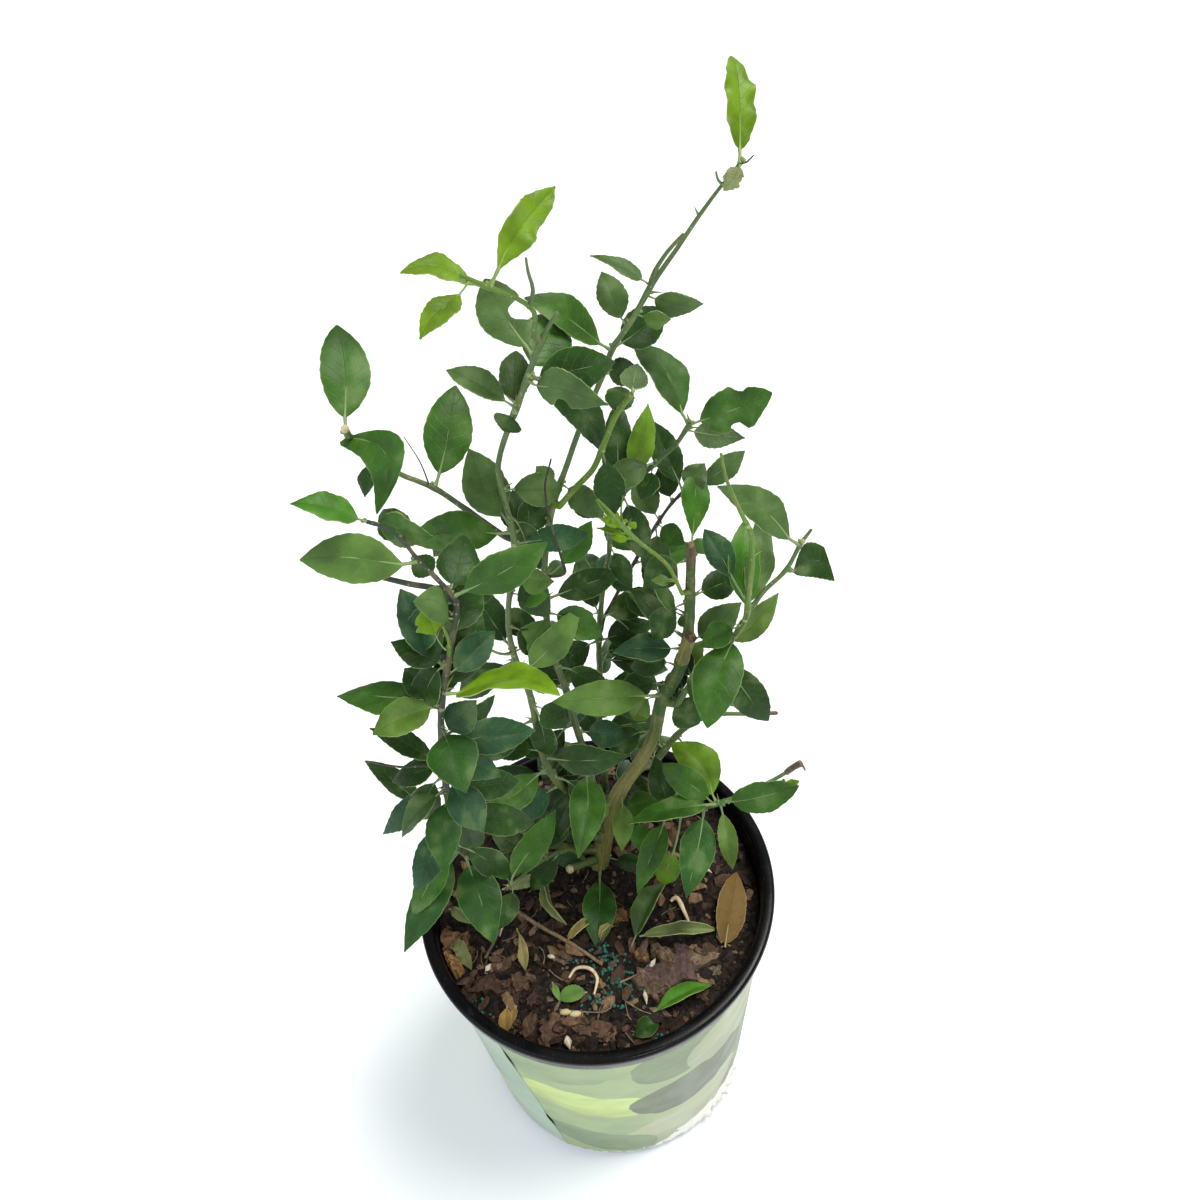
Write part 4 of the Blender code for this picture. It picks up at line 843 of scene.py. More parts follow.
@dataclass
class Blade:
    """A leaf as it is made: a petiole with its midrib below, and a folded, rippled blade with two sides."""

    plan: LeafPlan
    midrib: Midrib
    seed: float
    cells: tuple[int, int] = BLADE_CELLS
    rib_radius: float = 0.62 * MM
    gloss: float = 0.5

    def half_width(self, side: float, share: float) -> float:
        """Half the blade's width on one side.

        Args:
            side: Negative for the left side and positive for the right one.
            share: The share along the whole, uncut blade.

        Returns:
            The half width in metres.
        """
        form = self.plan.form
        along = min(1.0, max(0.0, share * self.plan.cut))
        oval = math.sin(math.pi * along**form.skew) ** form.fullness if 0 < along < 1 else 0.0
        half = max(0.35 * MM, self.plan.width * MM / 2 * oval)
        half *= 1 + (form.ragged + 0.03) * noise.noise(Vector((share * 7, side * 3, self.seed)))
        half += 0.16 * MM * math.sin(share * 58 + side) * min(1.0, oval * 2)
        for bite in self.plan.bites:
            if bite.side * side > 0:
                half *= 1 - bite.depth * math.exp(-(((along - bite.share) / bite.reach) ** 4))
        return half

    def place(self, u: float, v: float) -> Vector:
        """The place of a blade's point from its shares across and along."""
        form, plan = self.plan.form, self.plan
        side = 2 * u - 1
        start = form.petiole
        curve_share = (start + (1 - start) * v) * plan.cut
        centre, along = self.midrib.at(curve_share)
        across = along.cross(self.midrib.upper).normalized()
        lift = across.cross(along)
        length = (self.midrib.points[3] - self.midrib.points[0]).length
        half = self.half_width(side, v)
        reach = abs(side) ** 1.1
        bulge = math.sin(math.pi * min(1.0, v))
        fold = math.radians(form.fold) * (0.55 + 0.45 * math.sin(math.pi * v**0.8))
        rise = half * (math.sin(fold) * reach - form.camber * reach**2 * 2)
        phase = self.seed * 2.1 + (0.0 if side < 0 else 1.7)
        rise += half * form.wave * math.sin(math.tau * form.ripples * v + phase) * reach**2 * bulge
        rise += half * 0.05 * noise.noise(Vector((side * 1.5, v * 4, self.seed * 3)))
        rise -= length * form.curl * max(0.0, v - 0.55) ** 2 * 2.2
        shift = form.bow * length * bulge
        sideways = math.copysign(half * reach * math.cos(fold), side) + shift
        return centre + across * sideways + lift * rise

    def build(self, piece: Piece) -> None:
        """Adds the leaf to a piece whose slots are the upper side, the underside, the margin and the rib."""
        tone = self.plan.tone.value
        shade = 1 + 0.22 * noise.noise(Vector((self.seed * 5, 3.0, 1.0)))
        colour = tuple(value * shade for value in tone)
        top_verts, top_faces = piece.sheet(self.cells, self.place)
        piece.paint(top_verts, colour, self.gloss)
        bmesh.ops.recalc_face_normals(piece.mesh, faces=top_faces)
        _, along = self.midrib.at(0.5)
        across = along.cross(self.midrib.upper)
        if sum(face.normal.dot(across.cross(along)) for face in top_faces) < 0:
            bmesh.ops.reverse_faces(piece.mesh, faces=top_faces)
        for vert in top_verts:
            vert.normal_update()
        normals = {vert: vert.normal.copy() for vert in top_verts}
        copied = bmesh.ops.duplicate(piece.mesh, geom=top_faces)
        vert_map = copied["vert_map"]
        for vert in top_verts:
            vert_map[vert].co = vert.co - normals[vert] * BLADE_THICKNESS
        under_faces = [item for item in copied["geom"] if isinstance(item, bmesh.types.BMFace)]
        bmesh.ops.reverse_faces(piece.mesh, faces=under_faces)
        for face in under_faces:
            face.material_index = 1
        rims = []
        for faces in (top_faces, under_faces):
            edges = {edge for face in faces for edge in face.edges if len(edge.link_faces) == 1}
            for edge in edges:
                edge.smooth = False
            rims += list(edges)
        margin = bmesh.ops.bridge_loops(piece.mesh, edges=rims)["faces"]
        for face in margin:
            face.material_index = 2
            face.smooth = True
        bmesh.ops.recalc_face_normals(piece.mesh, faces=top_faces + under_faces + margin)
        self.add_rib(piece, colour)

    def add_rib(self, piece: Piece, colour: Colour) -> None:
        """Adds the petiole, which runs on under the blade as its tapering midrib."""
        plan, form = self.plan, self.plan.form
        stops = 15
        places, radii = [], []
        for stop in range(stops + 1):
            share = stop / stops * 0.96
            centre, along = self.midrib.at(share * plan.cut)
            on_blade = max(0.0, (share - form.petiole) / (1 - form.petiole))
            lift = along.cross(self.midrib.upper).normalized().cross(along)
            across = along.cross(self.midrib.upper).normalized()
            shift = form.bow * (self.midrib.points[3] - self.midrib.points[0]).length
            sink = (0.30 * MM if on_blade > 0 else 0.0) + self.drop(on_blade)
            places.append(centre - lift * sink + across * (shift * math.sin(math.pi * on_blade) if on_blade else 0.0))
            foot_flare = 1 + 0.5 * math.exp(-share * 40)
            joint = 1 + 0.35 * math.exp(-(((share - form.petiole) / 0.02) ** 2))
            radii.append(self.rib_radius * (1 - 0.78 * on_blade**0.7) * foot_flare * joint)
        if self.midrib.root:
            places.insert(0, self.midrib.root)
            radii.insert(0, radii[0] * 1.3)
        piece.tube(Route(places, radii), 6, lighter(colour, 0.42), slot=3)

    def drop(self, on_blade: float) -> float:
        """How far the blade's curl takes its midrib down at a share of the blade, in metres."""
        length = (self.midrib.points[3] - self.midrib.points[0]).length
        return length * self.plan.form.curl * max(0.0, on_blade - 0.55) ** 2 * 2.2


class Wiring:
    """Adds and links the nodes of one shader tree."""

    def __init__(self, tree: bpy.types.NodeTree) -> None:
        """Starts on an existing tree."""
        self.tree = tree

    def node(self, kind: str, sockets: dict | None = None, **settings: object) -> bpy.types.Node:
        """Adds a node.

        Args:
            kind: The node's type.
            sockets: A number, a colour or another node's output for each input, by name or place.
            settings: The node's own properties.

        Returns:
            The node.
        """
        made = self.tree.nodes.new(kind)
        for name, value in settings.items():
            setattr(made, name, value)
        for key, value in (sockets or {}).items():
            self.feed(made.inputs[key], value)
        return made

    def feed(self, socket: Socket, value: "Value") -> None:
        """Links an output to a socket, or sets the socket's own value."""
        if isinstance(value, bpy.types.NodeSocket):
            self.tree.links.new(value, socket)
        elif isinstance(value, tuple) and len(value) == 3 and socket.type == "RGBA":
            socket.default_value = (*value, 1.0)
        else:
            socket.default_value = value

    def math(self, operation: str, *values: "Value", clamp: bool = False) -> Socket:
        """The result of a sum on one, two or three values."""
        return self.node("ShaderNodeMath", dict(enumerate(values)), operation=operation, use_clamp=clamp).outputs[0]

    def product(self, first: "Value", second: "Value") -> Socket:
        """Two values multiplied."""
        return self.math("MULTIPLY", first, second)

    def grey(self, value: "Value") -> Socket:
        """A grey colour of a value."""
        return self.node("ShaderNodeCombineColor", {0: value, 1: value, 2: value}).outputs[0]

    def mix(self, share: "Value", first: "Value", second: "Value", blend: str = "MIX") -> Socket:
        """A mix of two colours."""
        made = self.node("ShaderNodeMix", {0: share, 6: first, 7: second}, data_type="RGBA", blend_type=blend)
        return made.outputs[2]

    def rise(self, value: "Value", low: float, high: float, start: "Value" = 0.0, end: "Value" = 1.0) -> Socket:
        """A smooth step of a value, from start at the low end to end at the high end."""
        made = self.node("ShaderNodeMapRange", {0: value, 1: low, 2: high, 3: start, 4: end},
                         interpolation_type="SMOOTHSTEP")
        return made.outputs[0]

    def noise(self, vector: Socket, scale: float, detail: float = 3.0, rough: float = 0.55) -> Socket:
        """A noise value between 0 and 1."""
        return self.node("ShaderNodeTexNoise", {"Vector": vector, "Scale": scale, "Detail": detail,
                                                "Roughness": rough}).outputs["Fac"]

    def stretch(self, vector: Socket, scale: tuple[float, float, float]) -> Socket:
        """A vector scaled along each of its axes."""
        return self.node("ShaderNodeVectorMath", {0: vector, 1: scale}, operation="MULTIPLY").outputs[0]

    def object_place(self) -> Socket:
        """The point's place in the object, in metres."""
        return self.node("ShaderNodeTexCoord").outputs["Object"]

    def grain(self) -> Socket:
        """The piece's own UV map."""
        return self.node("ShaderNodeUVMap", uv_map=UV_NAME).outputs["UV"]

    def bump(self, height: Socket, distance: float, strength: float = 1.0) -> Socket:
        """A normal that is tilted by a height."""
        return self.node("ShaderNodeBump", {"Height": height, "Distance": distance, "Strength": strength}).outputs[0]


class Effects:
    """The shader node groups that more than one finish uses, each built once."""

    def __init__(self) -> None:
        """Builds the groups."""
        self.veins = self.make_veins()
        self.mottle = self.make_mottle()
        self.oval = self.make_oval()
        self.streaks = self.make_streaks()

    @staticmethod
    def place(wire: Wiring, tree: bpy.types.NodeTree, *values: "Value") -> bpy.types.Node:
        """Adds one of the groups, with the values of its inputs in order."""
        made = wire.node("ShaderNodeGroup")
        made.node_tree = tree
        for socket, value in zip(made.inputs, values):
            wire.feed(socket, value)
        return made

    @staticmethod
    def start(name: str, inputs: Sequence[tuple[str, str, float]], outputs: Sequence[tuple[str, str]]) -> tuple:
        """Starts a group with its sockets.

        Args:
            name: The group's name.
            inputs: The name, kind and first value of each input.
            outputs: The name and kind of each output.

        Returns:
            The group's tree, wiring, input node and output node.
        """
        tree = bpy.data.node_groups.new(name, "ShaderNodeTree")
        for label, kind, value in inputs:
            socket = tree.interface.new_socket(label, in_out="INPUT", socket_type=f"NodeSocket{kind}")
            if kind == "Float":
                socket.default_value = value
        for label, kind in outputs:
            tree.interface.new_socket(label, in_out="OUTPUT", socket_type=f"NodeSocket{kind}")
        wiring = Wiring(tree)
        return tree, wiring, wiring.node("NodeGroupInput"), wiring.node("NodeGroupOutput")

    def make_veins(self) -> bpy.types.NodeTree:
        """A leaf's midrib, side veins and fine net, from the blade's UV map."""
        tree, wire, given, put = self.start(
            "leaf_veins",
            [("Pairs", "Float", 8.0), ("Midrib Width", "Float", 0.035), ("Vein Width", "Float", 0.12),
             ("Forward", "Float", 1.5)],
            [("Midrib", "Float"), ("Side Veins", "Float"), ("Net", "Float"), ("Margin", "Float"), ("Height", "Float")])
        grain = wire.grain()
        split = wire.node("ShaderNodeSeparateXYZ", {0: grain})
        aside = wire.math("ABSOLUTE", wire.math("MULTIPLY_ADD", split.outputs[0], 2.0, -1.0))
        along = split.outputs[1]
        wobble = wire.math("SUBTRACT", wire.noise(wire.stretch(grain, (2.0, 5.0, 1.0)), 2.0), 0.5)
        narrow = wire.math("MULTIPLY", given.outputs["Midrib Width"], wire.rise(along, 0.0, 1.0, 1.25, 0.35))
        midrib = wire.math("SUBTRACT", 1.0, wire.math("DIVIDE", aside, narrow), clamp=True)
        climb = wire.math("MULTIPLY", wire.math("POWER", aside, 1.25), given.outputs["Forward"])
        phase = wire.math("SUBTRACT", wire.math("MULTIPLY", along, given.outputs["Pairs"]), climb)
        phase = wire.math("ADD", phase, wire.math("MULTIPLY", wobble, 0.5))
        near = wire.math("MULTIPLY", wire.math("ABSOLUTE", wire.math("SUBTRACT", wire.math("FRACT", phase), 0.5)), 2.0)
        side = wire.math("SUBTRACT", 1.0, wire.math("DIVIDE", wire.math("SUBTRACT", 1.0, near),
                                                    given.outputs["Vein Width"]), clamp=True)
        side = wire.math("MULTIPLY", side, wire.rise(aside, 0.70, 0.95, 1.0, 0.0))
        cells = wire.node("ShaderNodeTexVoronoi", {"Vector": wire.stretch(grain, (14.0, 30.0, 1.0)), "Scale": 1.0},
                          feature="DISTANCE_TO_EDGE")
        net = wire.rise(cells.outputs["Distance"], 0.0, 0.10, 1.0, 0.0)
        height = wire.math("ADD", wire.math("MULTIPLY", midrib, 1.0), wire.math("MULTIPLY", side, 0.45))
        height = wire.math("ADD", height, wire.math("MULTIPLY", net, 0.12))
        margin = wire.rise(aside, 0.94, 1.0)
        for label, value in (("Midrib", midrib), ("Side Veins", side), ("Net", net), ("Margin", margin),
                             ("Height", height)):
            wire.feed(put.inputs[label], value)
        return tree

    def make_mottle(self) -> bpy.types.NodeTree:
        """Soft blotches and fine specks over the object's own space."""
        tree, wire, given, put = self.start(
            "mottle",
            [("Blotch Size", "Float", 6.0), ("Speck Size", "Float", 0.7), ("Speck Share", "Float", 0.3)],
            [("Blotches", "Float"), ("Specks", "Float"), ("Fine", "Float")])
        place = wire.object_place()
        blotch_scale = wire.math("DIVIDE", 1000.0, given.outputs["Blotch Size"])
        speck_scale = wire.math("DIVIDE", 1000.0, given.outputs["Speck Size"])
        blotches = wire.node("ShaderNodeTexNoise", {"Vector": place, "Scale": blotch_scale, "Detail": 4.0})
        specks = wire.node("ShaderNodeTexVoronoi", {"Vector": place, "Scale": speck_scale})
        chosen = wire.math("LESS_THAN", wire.node("ShaderNodeSeparateColor", {0: specks.outputs["Color"]}).outputs[0],
                           given.outputs["Speck Share"])
        dots = wire.math("MULTIPLY", wire.rise(specks.outputs["Distance"], 0.15, 0.4, 1.0, 0.0), chosen)
        fine = wire.node("ShaderNodeTexNoise", {"Vector": place, "Scale": speck_scale, "Detail": 2.0})
        wire.feed(put.inputs["Blotches"], blotches.outputs["Fac"])
        wire.feed(put.inputs["Specks"], dots)
        wire.feed(put.inputs["Fine"], fine.outputs["Fac"])
        return tree

    def make_streaks(self) -> bpy.types.NodeTree:
        """Streaks along a stem, from its UV map, without a join where the map's sides meet."""
        tree, wire, given, put = self.start(
            "skin_streaks", [("Round Scale", "Float", 1.6), ("Length Scale", "Float", 1.3)],
            [("Streaks", "Float"), ("Lines", "Float")])
        split = wire.node("ShaderNodeSeparateXYZ", {0: wire.grain()})
        angle = wire.product(split.outputs[0], math.tau)
        x = wire.product(wire.math("COSINE", angle), given.outputs["Round Scale"])
        y = wire.product(wire.math("SINE", angle), given.outputs["Round Scale"])
        z = wire.product(split.outputs[1], given.outputs["Length Scale"])
        place = wire.node("ShaderNodeCombineXYZ", {0: x, 1: y, 2: z}).outputs[0]
        fine = wire.stretch(place, (3.4, 3.4, 0.8))
        wire.feed(put.inputs["Streaks"], wire.noise(place, 1.0, 4.0))
        wire.feed(put.inputs["Lines"], wire.noise(fine, 1.0, 4.0, 0.65))
        return tree

    def make_oval(self) -> bpy.types.NodeTree:
        """One plain printed oval, as a mask with a soft shade along it."""
        tree, wire, given, put = self.start(
            "printed_oval",
            [("Place", "Vector", 0.0), ("Across", "Float", 0.0), ("Up", "Float", 0.0), ("Turn", "Float", 0.0),
             ("Half Length", "Float", 30.0), ("Half Width", "Float", 18.0)],
            [("Mask", "Float"), ("Shade", "Float")])
        centre = wire.node("ShaderNodeCombineXYZ", {0: given.outputs["Across"], 1: given.outputs["Up"]})
        offset = wire.node("ShaderNodeVectorMath", {0: given.outputs["Place"], 1: centre.outputs[0]},
                           operation="SUBTRACT")
        turned = wire.node("ShaderNodeVectorRotate", {"Vector": offset.outputs[0], "Angle": given.outputs["Turn"]},
                           rotation_type="Z_AXIS")
        split = wire.node("ShaderNodeSeparateXYZ", {0: turned.outputs[0]})
        x = wire.math("DIVIDE", split.outputs[0], given.outputs["Half Length"])
        y = wire.math("DIVIDE", split.outputs[1], given.outputs["Half Width"])
        away = wire.math("ADD", wire.math("POWER", wire.math("ABSOLUTE", x), 2.4),
                         wire.math("POWER", wire.math("ABSOLUTE", y), 2.0))
        wire.feed(put.inputs["Mask"], wire.rise(away, 0.97, 1.02, 1.0, 0.0))
        wire.feed(put.inputs["Shade"], wire.rise(wire.math("ADD", y, wire.math("MULTIPLY", x, 0.4)), -1.0, 1.0))
        return tree


@dataclass(frozen=True)
class Finish:
    """A finish: its Principled material's plain values. Each kind of finish adds its own pattern."""

    name: str
    roughness: float = 0.5
    coat: float = 0.0
    specular: float = 0.5

    def begin(self) -> tuple[bpy.types.Material, Wiring, bpy.types.Node]:
        """Starts the material.

        Returns:
            The material, its wiring and its Principled node.
        """
        made = bpy.data.materials.new(self.name)
        made.use_nodes = True
        shader = made.node_tree.nodes["Principled BSDF"]
        shader.inputs["Roughness"].default_value = self.roughness
        shader.inputs["Coat Weight"].default_value = self.coat
        shader.inputs["Specular IOR Level"].default_value = self.specular
        return made, Wiring(made.node_tree), shader


@dataclass(frozen=True)
class LeafFinish(Finish):
    """One side of a leaf. It reads the leaf's tint, and shows its veins and mottling, with patches that are a painted
    sheen on living leaves and darker blotches of their own on dry ones.
    """

    vein_colour: Colour = srgb(126, 152, 84)
    # On living leaves these patches are a painted sheen; on dry leaves they are the leaf's own darker blotches.
    blotch_and_sheen_colour: Colour = srgb(136, 154, 100)
    midrib_share: float = 0.26
    vein_share: float = 0.11
    blotch_and_sheen_share: float = 0.50
    dull: float = 0.0
    dull_colour: Colour = srgb(124, 142, 112)
    relief: float = -0.15 * MM

    def material(self, effects: Effects) -> bpy.types.Material:
        """The material of this side of a leaf."""
        made, wire, shader = self.begin()
        tint = wire.node("ShaderNodeAttribute", attribute_name=TINT_NAME)
        veins = effects.place(wire, effects.veins)
        mottle = effects.place(wire, effects.mottle, 13.0, 0.8, 0.10)
        colour = wire.mix(self.dull, tint.outputs["Color"], self.dull_colour)
        shade = wire.rise(mottle.outputs["Blotches"], 0.30, 0.60, 0.64, 1.12)
        colour = wire.mix(1.0, colour, wire.grey(shade), blend="MULTIPLY")
        # Patches in the blotch colour: a painted sheen, pale in place of gloss, on living leaves; darker blotches of
        # their own on dry leaves.
        patches = wire.rise(mottle.outputs["Blotches"], 0.54, 0.70, 0.0, self.blotch_and_sheen_share)
        colour = wire.mix(patches, colour, wire.mix(0.6, tint.outputs["Color"], self.blotch_and_sheen_colour))
        quilt = wire.math("MULTIPLY", veins.outputs["Side Veins"], self.vein_share)
        colour = wire.mix(quilt, colour, self.vein_colour)
        colour = wire.mix(wire.math("MULTIPLY", veins.outputs["Net"], self.vein_share * 0.35), colour, self.vein_colour)
        colour = wire.mix(wire.math("MULTIPLY", veins.outputs["Midrib"], self.midrib_share), colour, self.vein_colour)
        colour = wire.mix(wire.math("MULTIPLY", mottle.outputs["Specks"], 0.25), colour, self.vein_colour)
        colour = wire.mix(wire.product(veins.outputs["Margin"], 0.6), colour, self.vein_colour)
        wire.feed(shader.inputs["Base Color"], colour)
        rough = wire.math("ADD", self.roughness, wire.math("MULTIPLY", mottle.outputs["Blotches"], 0.22))
        rough = wire.math("SUBTRACT", rough, wire.math("MULTIPLY", tint.outputs["Alpha"], 0.20))
        wire.feed(shader.inputs["Roughness"], rough)
        fine = wire.math("MULTIPLY", mottle.outputs["Fine"], 0.25)
        height = wire.math("ADD", veins.outputs["Height"], fine)
        wire.feed(shader.inputs["Normal"], wire.bump(wire.math("MULTIPLY", height, math.copysign(1.0, self.relief)),
                                                    abs(self.relief)))
        return made


@dataclass(frozen=True)
class EdgeFinish(Finish):
    """A leaf's thin margin: its tint made paler."""

    pale: Colour = srgb(168, 184, 116)
    share: float = 0.66

    def material(self, effects: Effects) -> bpy.types.Material:
        """The margin's material."""
        made, wire, shader = self.begin()
        tint = wire.node("ShaderNodeAttribute", attribute_name=TINT_NAME)
        mottle = effects.place(wire, effects.mottle, 3.0, 0.6, 0.2)
        share = wire.rise(mottle.outputs["Blotches"], 0.3, 0.7, self.share * 0.5, self.share * 1.4)
        wire.feed(shader.inputs["Base Color"], wire.mix(share, tint.outputs["Color"], self.pale))
        return made


@dataclass(frozen=True)
class SkinFinish(Finish):
    """A stem's skin: lengthwise streaks, pores and patches over its tint."""

    streak_colour: Colour = srgb(150, 150, 96)
    streak_share: float = 0.4
    patch_colour: Colour = srgb(156, 136, 88)
    patch_share: float = 0.2
    pore_colour: Colour = srgb(178, 182, 136)
    pore_share: float = 0.14
    relief: float = 0.18 * MM
    round_scale: float = 1.6
    length_scale: float = 1.3

    def material(self, effects: Effects) -> bpy.types.Material:
        """The skin's material."""
        made, wire, shader = self.begin()
        tint = wire.node("ShaderNodeAttribute", attribute_name=TINT_NAME)
        streaks = effects.place(wire, effects.streaks, self.round_scale, self.length_scale)
        mottle = effects.place(wire, effects.mottle, 7.0, 1.3, self.pore_share)
        shade = wire.rise(streaks.outputs["Streaks"], 0.3, 0.62, 0.62, 1.08)
        colour = wire.mix(1.0, tint.outputs["Color"], wire.grey(shade), blend="MULTIPLY")
        lines = wire.rise(streaks.outputs["Lines"], 0.55, 0.75, 0.0, self.streak_share)
        colour = wire.mix(lines, colour, self.streak_colour)
        patches = wire.rise(mottle.outputs["Blotches"], 0.52, 0.66, 0.0, self.patch_share)
        colour = wire.mix(patches, colour, self.patch_colour)
        colour = wire.mix(wire.product(mottle.outputs["Specks"], 0.6), colour, self.pore_colour)
        wire.feed(shader.inputs["Base Color"], colour)
        wire.feed(shader.inputs["Roughness"], wire.rise(streaks.outputs["Lines"], 0.2, 0.8, self.roughness - 0.1,
                                                        self.roughness + 0.15))
        height = wire.math("ADD", streaks.outputs["Lines"], wire.product(mottle.outputs["Specks"], 0.5))
        wire.feed(shader.inputs["Normal"], wire.bump(height, self.relief))
        return made


@dataclass(frozen=True)
class CutFinish(Finish):
    """Pruned wood: dry brown fibres, mottled between a darker and a paler brown."""

    pale: Colour = srgb(138, 118, 90)
    dark: Colour = srgb(84, 66, 50)

    def material(self, effects: Effects) -> bpy.types.Material:
        """The cut's material."""
        made, wire, shader = self.begin()
        mottle = effects.place(wire, effects.mottle, 1.8, 0.4, 0.4)
        share = wire.rise(mottle.outputs["Blotches"], 0.35, 0.65)
        wire.feed(shader.inputs["Base Color"], wire.mix(share, self.dark, self.pale))
        wire.feed(shader.inputs["Normal"], wire.bump(mottle.outputs["Fine"], 0.3 * MM))
        return made


@dataclass(frozen=True)
class PlasticFinish(Finish):
    """The pot's black plastic: a low sheen with fine scuffs, and dust lower down."""

    black: Colour = srgb(6, 6, 7)
    scuff: Colour = srgb(62, 66, 72)
    dust: Colour = srgb(26, 28, 32)

    def material(self, effects: Effects) -> bpy.types.Material:
        """The plastic's material."""
        made, wire, shader = self.begin()
        place = wire.object_place()
        mottle = effects.place(wire, effects.mottle, 22.0, 0.9, 0.10)
        split = wire.node("ShaderNodeSeparateXYZ", {0: place})
        height = split.outputs[2]
        clouds = wire.rise(mottle.outputs["Blotches"], 0.42, 0.68, 0.05, 0.75)
        low = wire.rise(height, 0.158, 0.182, 0.9, 0.12)
        colour = wire.mix(wire.product(clouds, low), self.black, self.dust)
        scratch_map = wire.stretch(place, (70.0, 70.0, 900.0))
        scratches = wire.rise(wire.noise(scratch_map, 1.0, 5.0, 0.7), 0.60, 0.74, 0.0, 0.55)
        cross_map = wire.stretch(place, (520.0, 90.0, 60.0))
        crossing = wire.rise(wire.noise(cross_map, 1.0, 4.0, 0.7), 0.62, 0.76, 0.0, 0.45)
        wear = wire.math("MAXIMUM", wire.product(scratches, mottle.outputs["Blotches"]),
                         wire.product(crossing, mottle.outputs["Blotches"]))
        colour = wire.mix(wear, colour, self.scuff)
        colour = wire.mix(wire.product(mottle.outputs["Specks"], 0.25), colour, self.scuff)
        wire.feed(shader.inputs["Base Color"], colour)
        rough = wire.math("ADD", wire.rise(mottle.outputs["Blotches"], 0.3, 0.7, self.roughness - 0.07,
                                           self.roughness + 0.10), wire.product(wear, 0.5))
        wire.feed(shader.inputs["Roughness"], rough)
        relief = wire.math("SUBTRACT", wire.product(mottle.outputs["Fine"], 0.5), wear)
        wire.feed(shader.inputs["Normal"], wire.bump(relief, 0.10 * MM))
        return made


class Wash(Enum):
    """The colours of the printed ovals."""

    SAGE = srgb(106, 130, 86)
    PALE = srgb(162, 180, 124)
    OLIVE_GREY = srgb(92, 105, 68)
    MINT = srgb(136, 158, 108)
    DARK = srgb(68, 79, 52)
    LIME = srgb(186, 207, 112)
    STONE = srgb(158, 167, 130)
    MOSS = srgb(100, 124, 78)


@dataclass(frozen=True)
class FilmFinish(Finish):
    """The printed sleeve: plain overlapping ovals in greens, with a worn white fibrous lower edge and a painted shade
    beside the seam.
    """

    ground: Colour = srgb(150, 171, 114)
    paper: Colour = srgb(238, 238, 230)
    # The colour of the painted shade on the band beside the seam.
    shaded: Colour = srgb(166, 188, 172)
    columns: int = 9
    rows: int = 3
    seed: int = 44

    def material(self, effects: Effects) -> bpy.types.Material:
        """The sleeve's material. Its UV map is in millimetres round the pot and up."""
        made, wire, shader = self.begin()
        grain = wire.grain()
        wobble = wire.node("ShaderNodeTexNoise", {"Vector": grain, "Scale": 0.05, "Detail": 3.0}).outputs["Color"]
        wobble = wire.node("ShaderNodeVectorMath", {0: wobble, 1: (0.5, 0.5, 0.5)}, operation="SUBTRACT").outputs[0]
        wobble = wire.node("ShaderNodeVectorMath", {0: wobble, "Scale": 9.0}, operation="SCALE").outputs[0]
        place = wire.node("ShaderNodeVectorMath", {0: grain, 1: wobble}, operation="ADD").outputs[0]
        washes = wire.noise(wire.stretch(grain, (0.03, 0.06, 1.0)), 1.0, 5.0)
        colour = wire.mix(wire.rise(washes, 0.4, 0.65), self.ground, Wash.MINT.value)
        for across, up, turn, long, wide, wash in self.ovals():
            oval = effects.place(wire, effects.oval, place, across, up, turn, long, wide)
            pooled = wire.math("ADD", washes, wire.product(oval.outputs["Shade"], 0.3))
            shaded = wire.mix(1.0, wash.value, wire.grey(wire.rise(pooled, 0.4, 0.85, 0.80, 1.14)), blend="MULTIPLY")
            colour = wire.mix(wire.product(oval.outputs["Mask"], 0.92), colour, shaded)
        mottle = effects.place(wire, effects.mottle, 24.0, 0.6, 0.06)
        colour = wire.mix(wire.rise(mottle.outputs["Blotches"], 0.45, 0.75, 0.0, 0.10), colour, self.paper)
        split = wire.node("ShaderNodeSeparateXYZ", {0: grain})
        fibres = wire.noise(wire.stretch(grain, (0.2, 0.35, 1)), 1.0, 6.0)
        torn = self.worn(wire, split.outputs[0], split.outputs[1], fibres)
        # Painted shade: from 515 mm round to the seam, the print is mixed up to 0.72 towards a pale blue-grey.
        colour = wire.mix(wire.rise(split.outputs[0], 515, 545, 0.0, 0.72), colour, self.shaded)
        colour = wire.mix(torn, colour, self.paper)
        wire.feed(shader.inputs["Base Color"], colour)
        wire.feed(shader.inputs["Roughness"], wire.math("ADD", wire.product(torn, 0.4), wire.rise(
            mottle.outputs["Blotches"], 0.3, 0.7, self.roughness - 0.06, self.roughness + 0.08)))
        wrinkles = wire.noise(wire.stretch(grain, (0.06, 0.02, 1.0)), 1.0, 3.0)
        height = wire.math("ADD", wrinkles, wire.product(torn, wire.product(mottle.outputs["Fine"], 0.6)))
        wire.feed(shader.inputs["Normal"], wire.bump(height, 0.5 * MM))
        return made

    def ovals(self) -> list[tuple]:
        """The ovals, each as its place, turn, half length, half width and colour."""
        chance = random.Random(self.seed)
        washes = list(Wash)
        made = []
        for index in range(self.columns * self.rows):
            column, row = index % self.columns, index // self.columns
            across = (column + 0.5 + chance.uniform(-0.3, 0.3)) * 565 / self.columns
            up = (row + 0.45 + chance.uniform(-0.3, 0.3)) * 166 / self.rows
            turn = chance.uniform(-0.6, 0.6)
            long = chance.uniform(34, 58)
            made.append((across, up, turn, long, long * chance.uniform(0.42, 0.62),
                         washes[(index * 5 + chance.randrange(3)) % len(washes)]))
        chance.shuffle(made)
        return made

    def worn(self, wire: Wiring, across: Socket, up: Socket, fibres: Socket) -> Socket:
        """The mask of the worn places along the lower edge."""
        reach = wire.product(wire.rise(across, 56, 88), wire.rise(across, 166, 192, 1.0, 0.0))
        level = wire.math("ADD", wire.product(reach, 13.0), 1.0)
        level = wire.math("ADD", level, wire.math("MULTIPLY", wire.math("SUBTRACT", fibres, 0.5), 22.0))
        return wire.rise(wire.math("SUBTRACT", level, up), -0.6, 0.8)


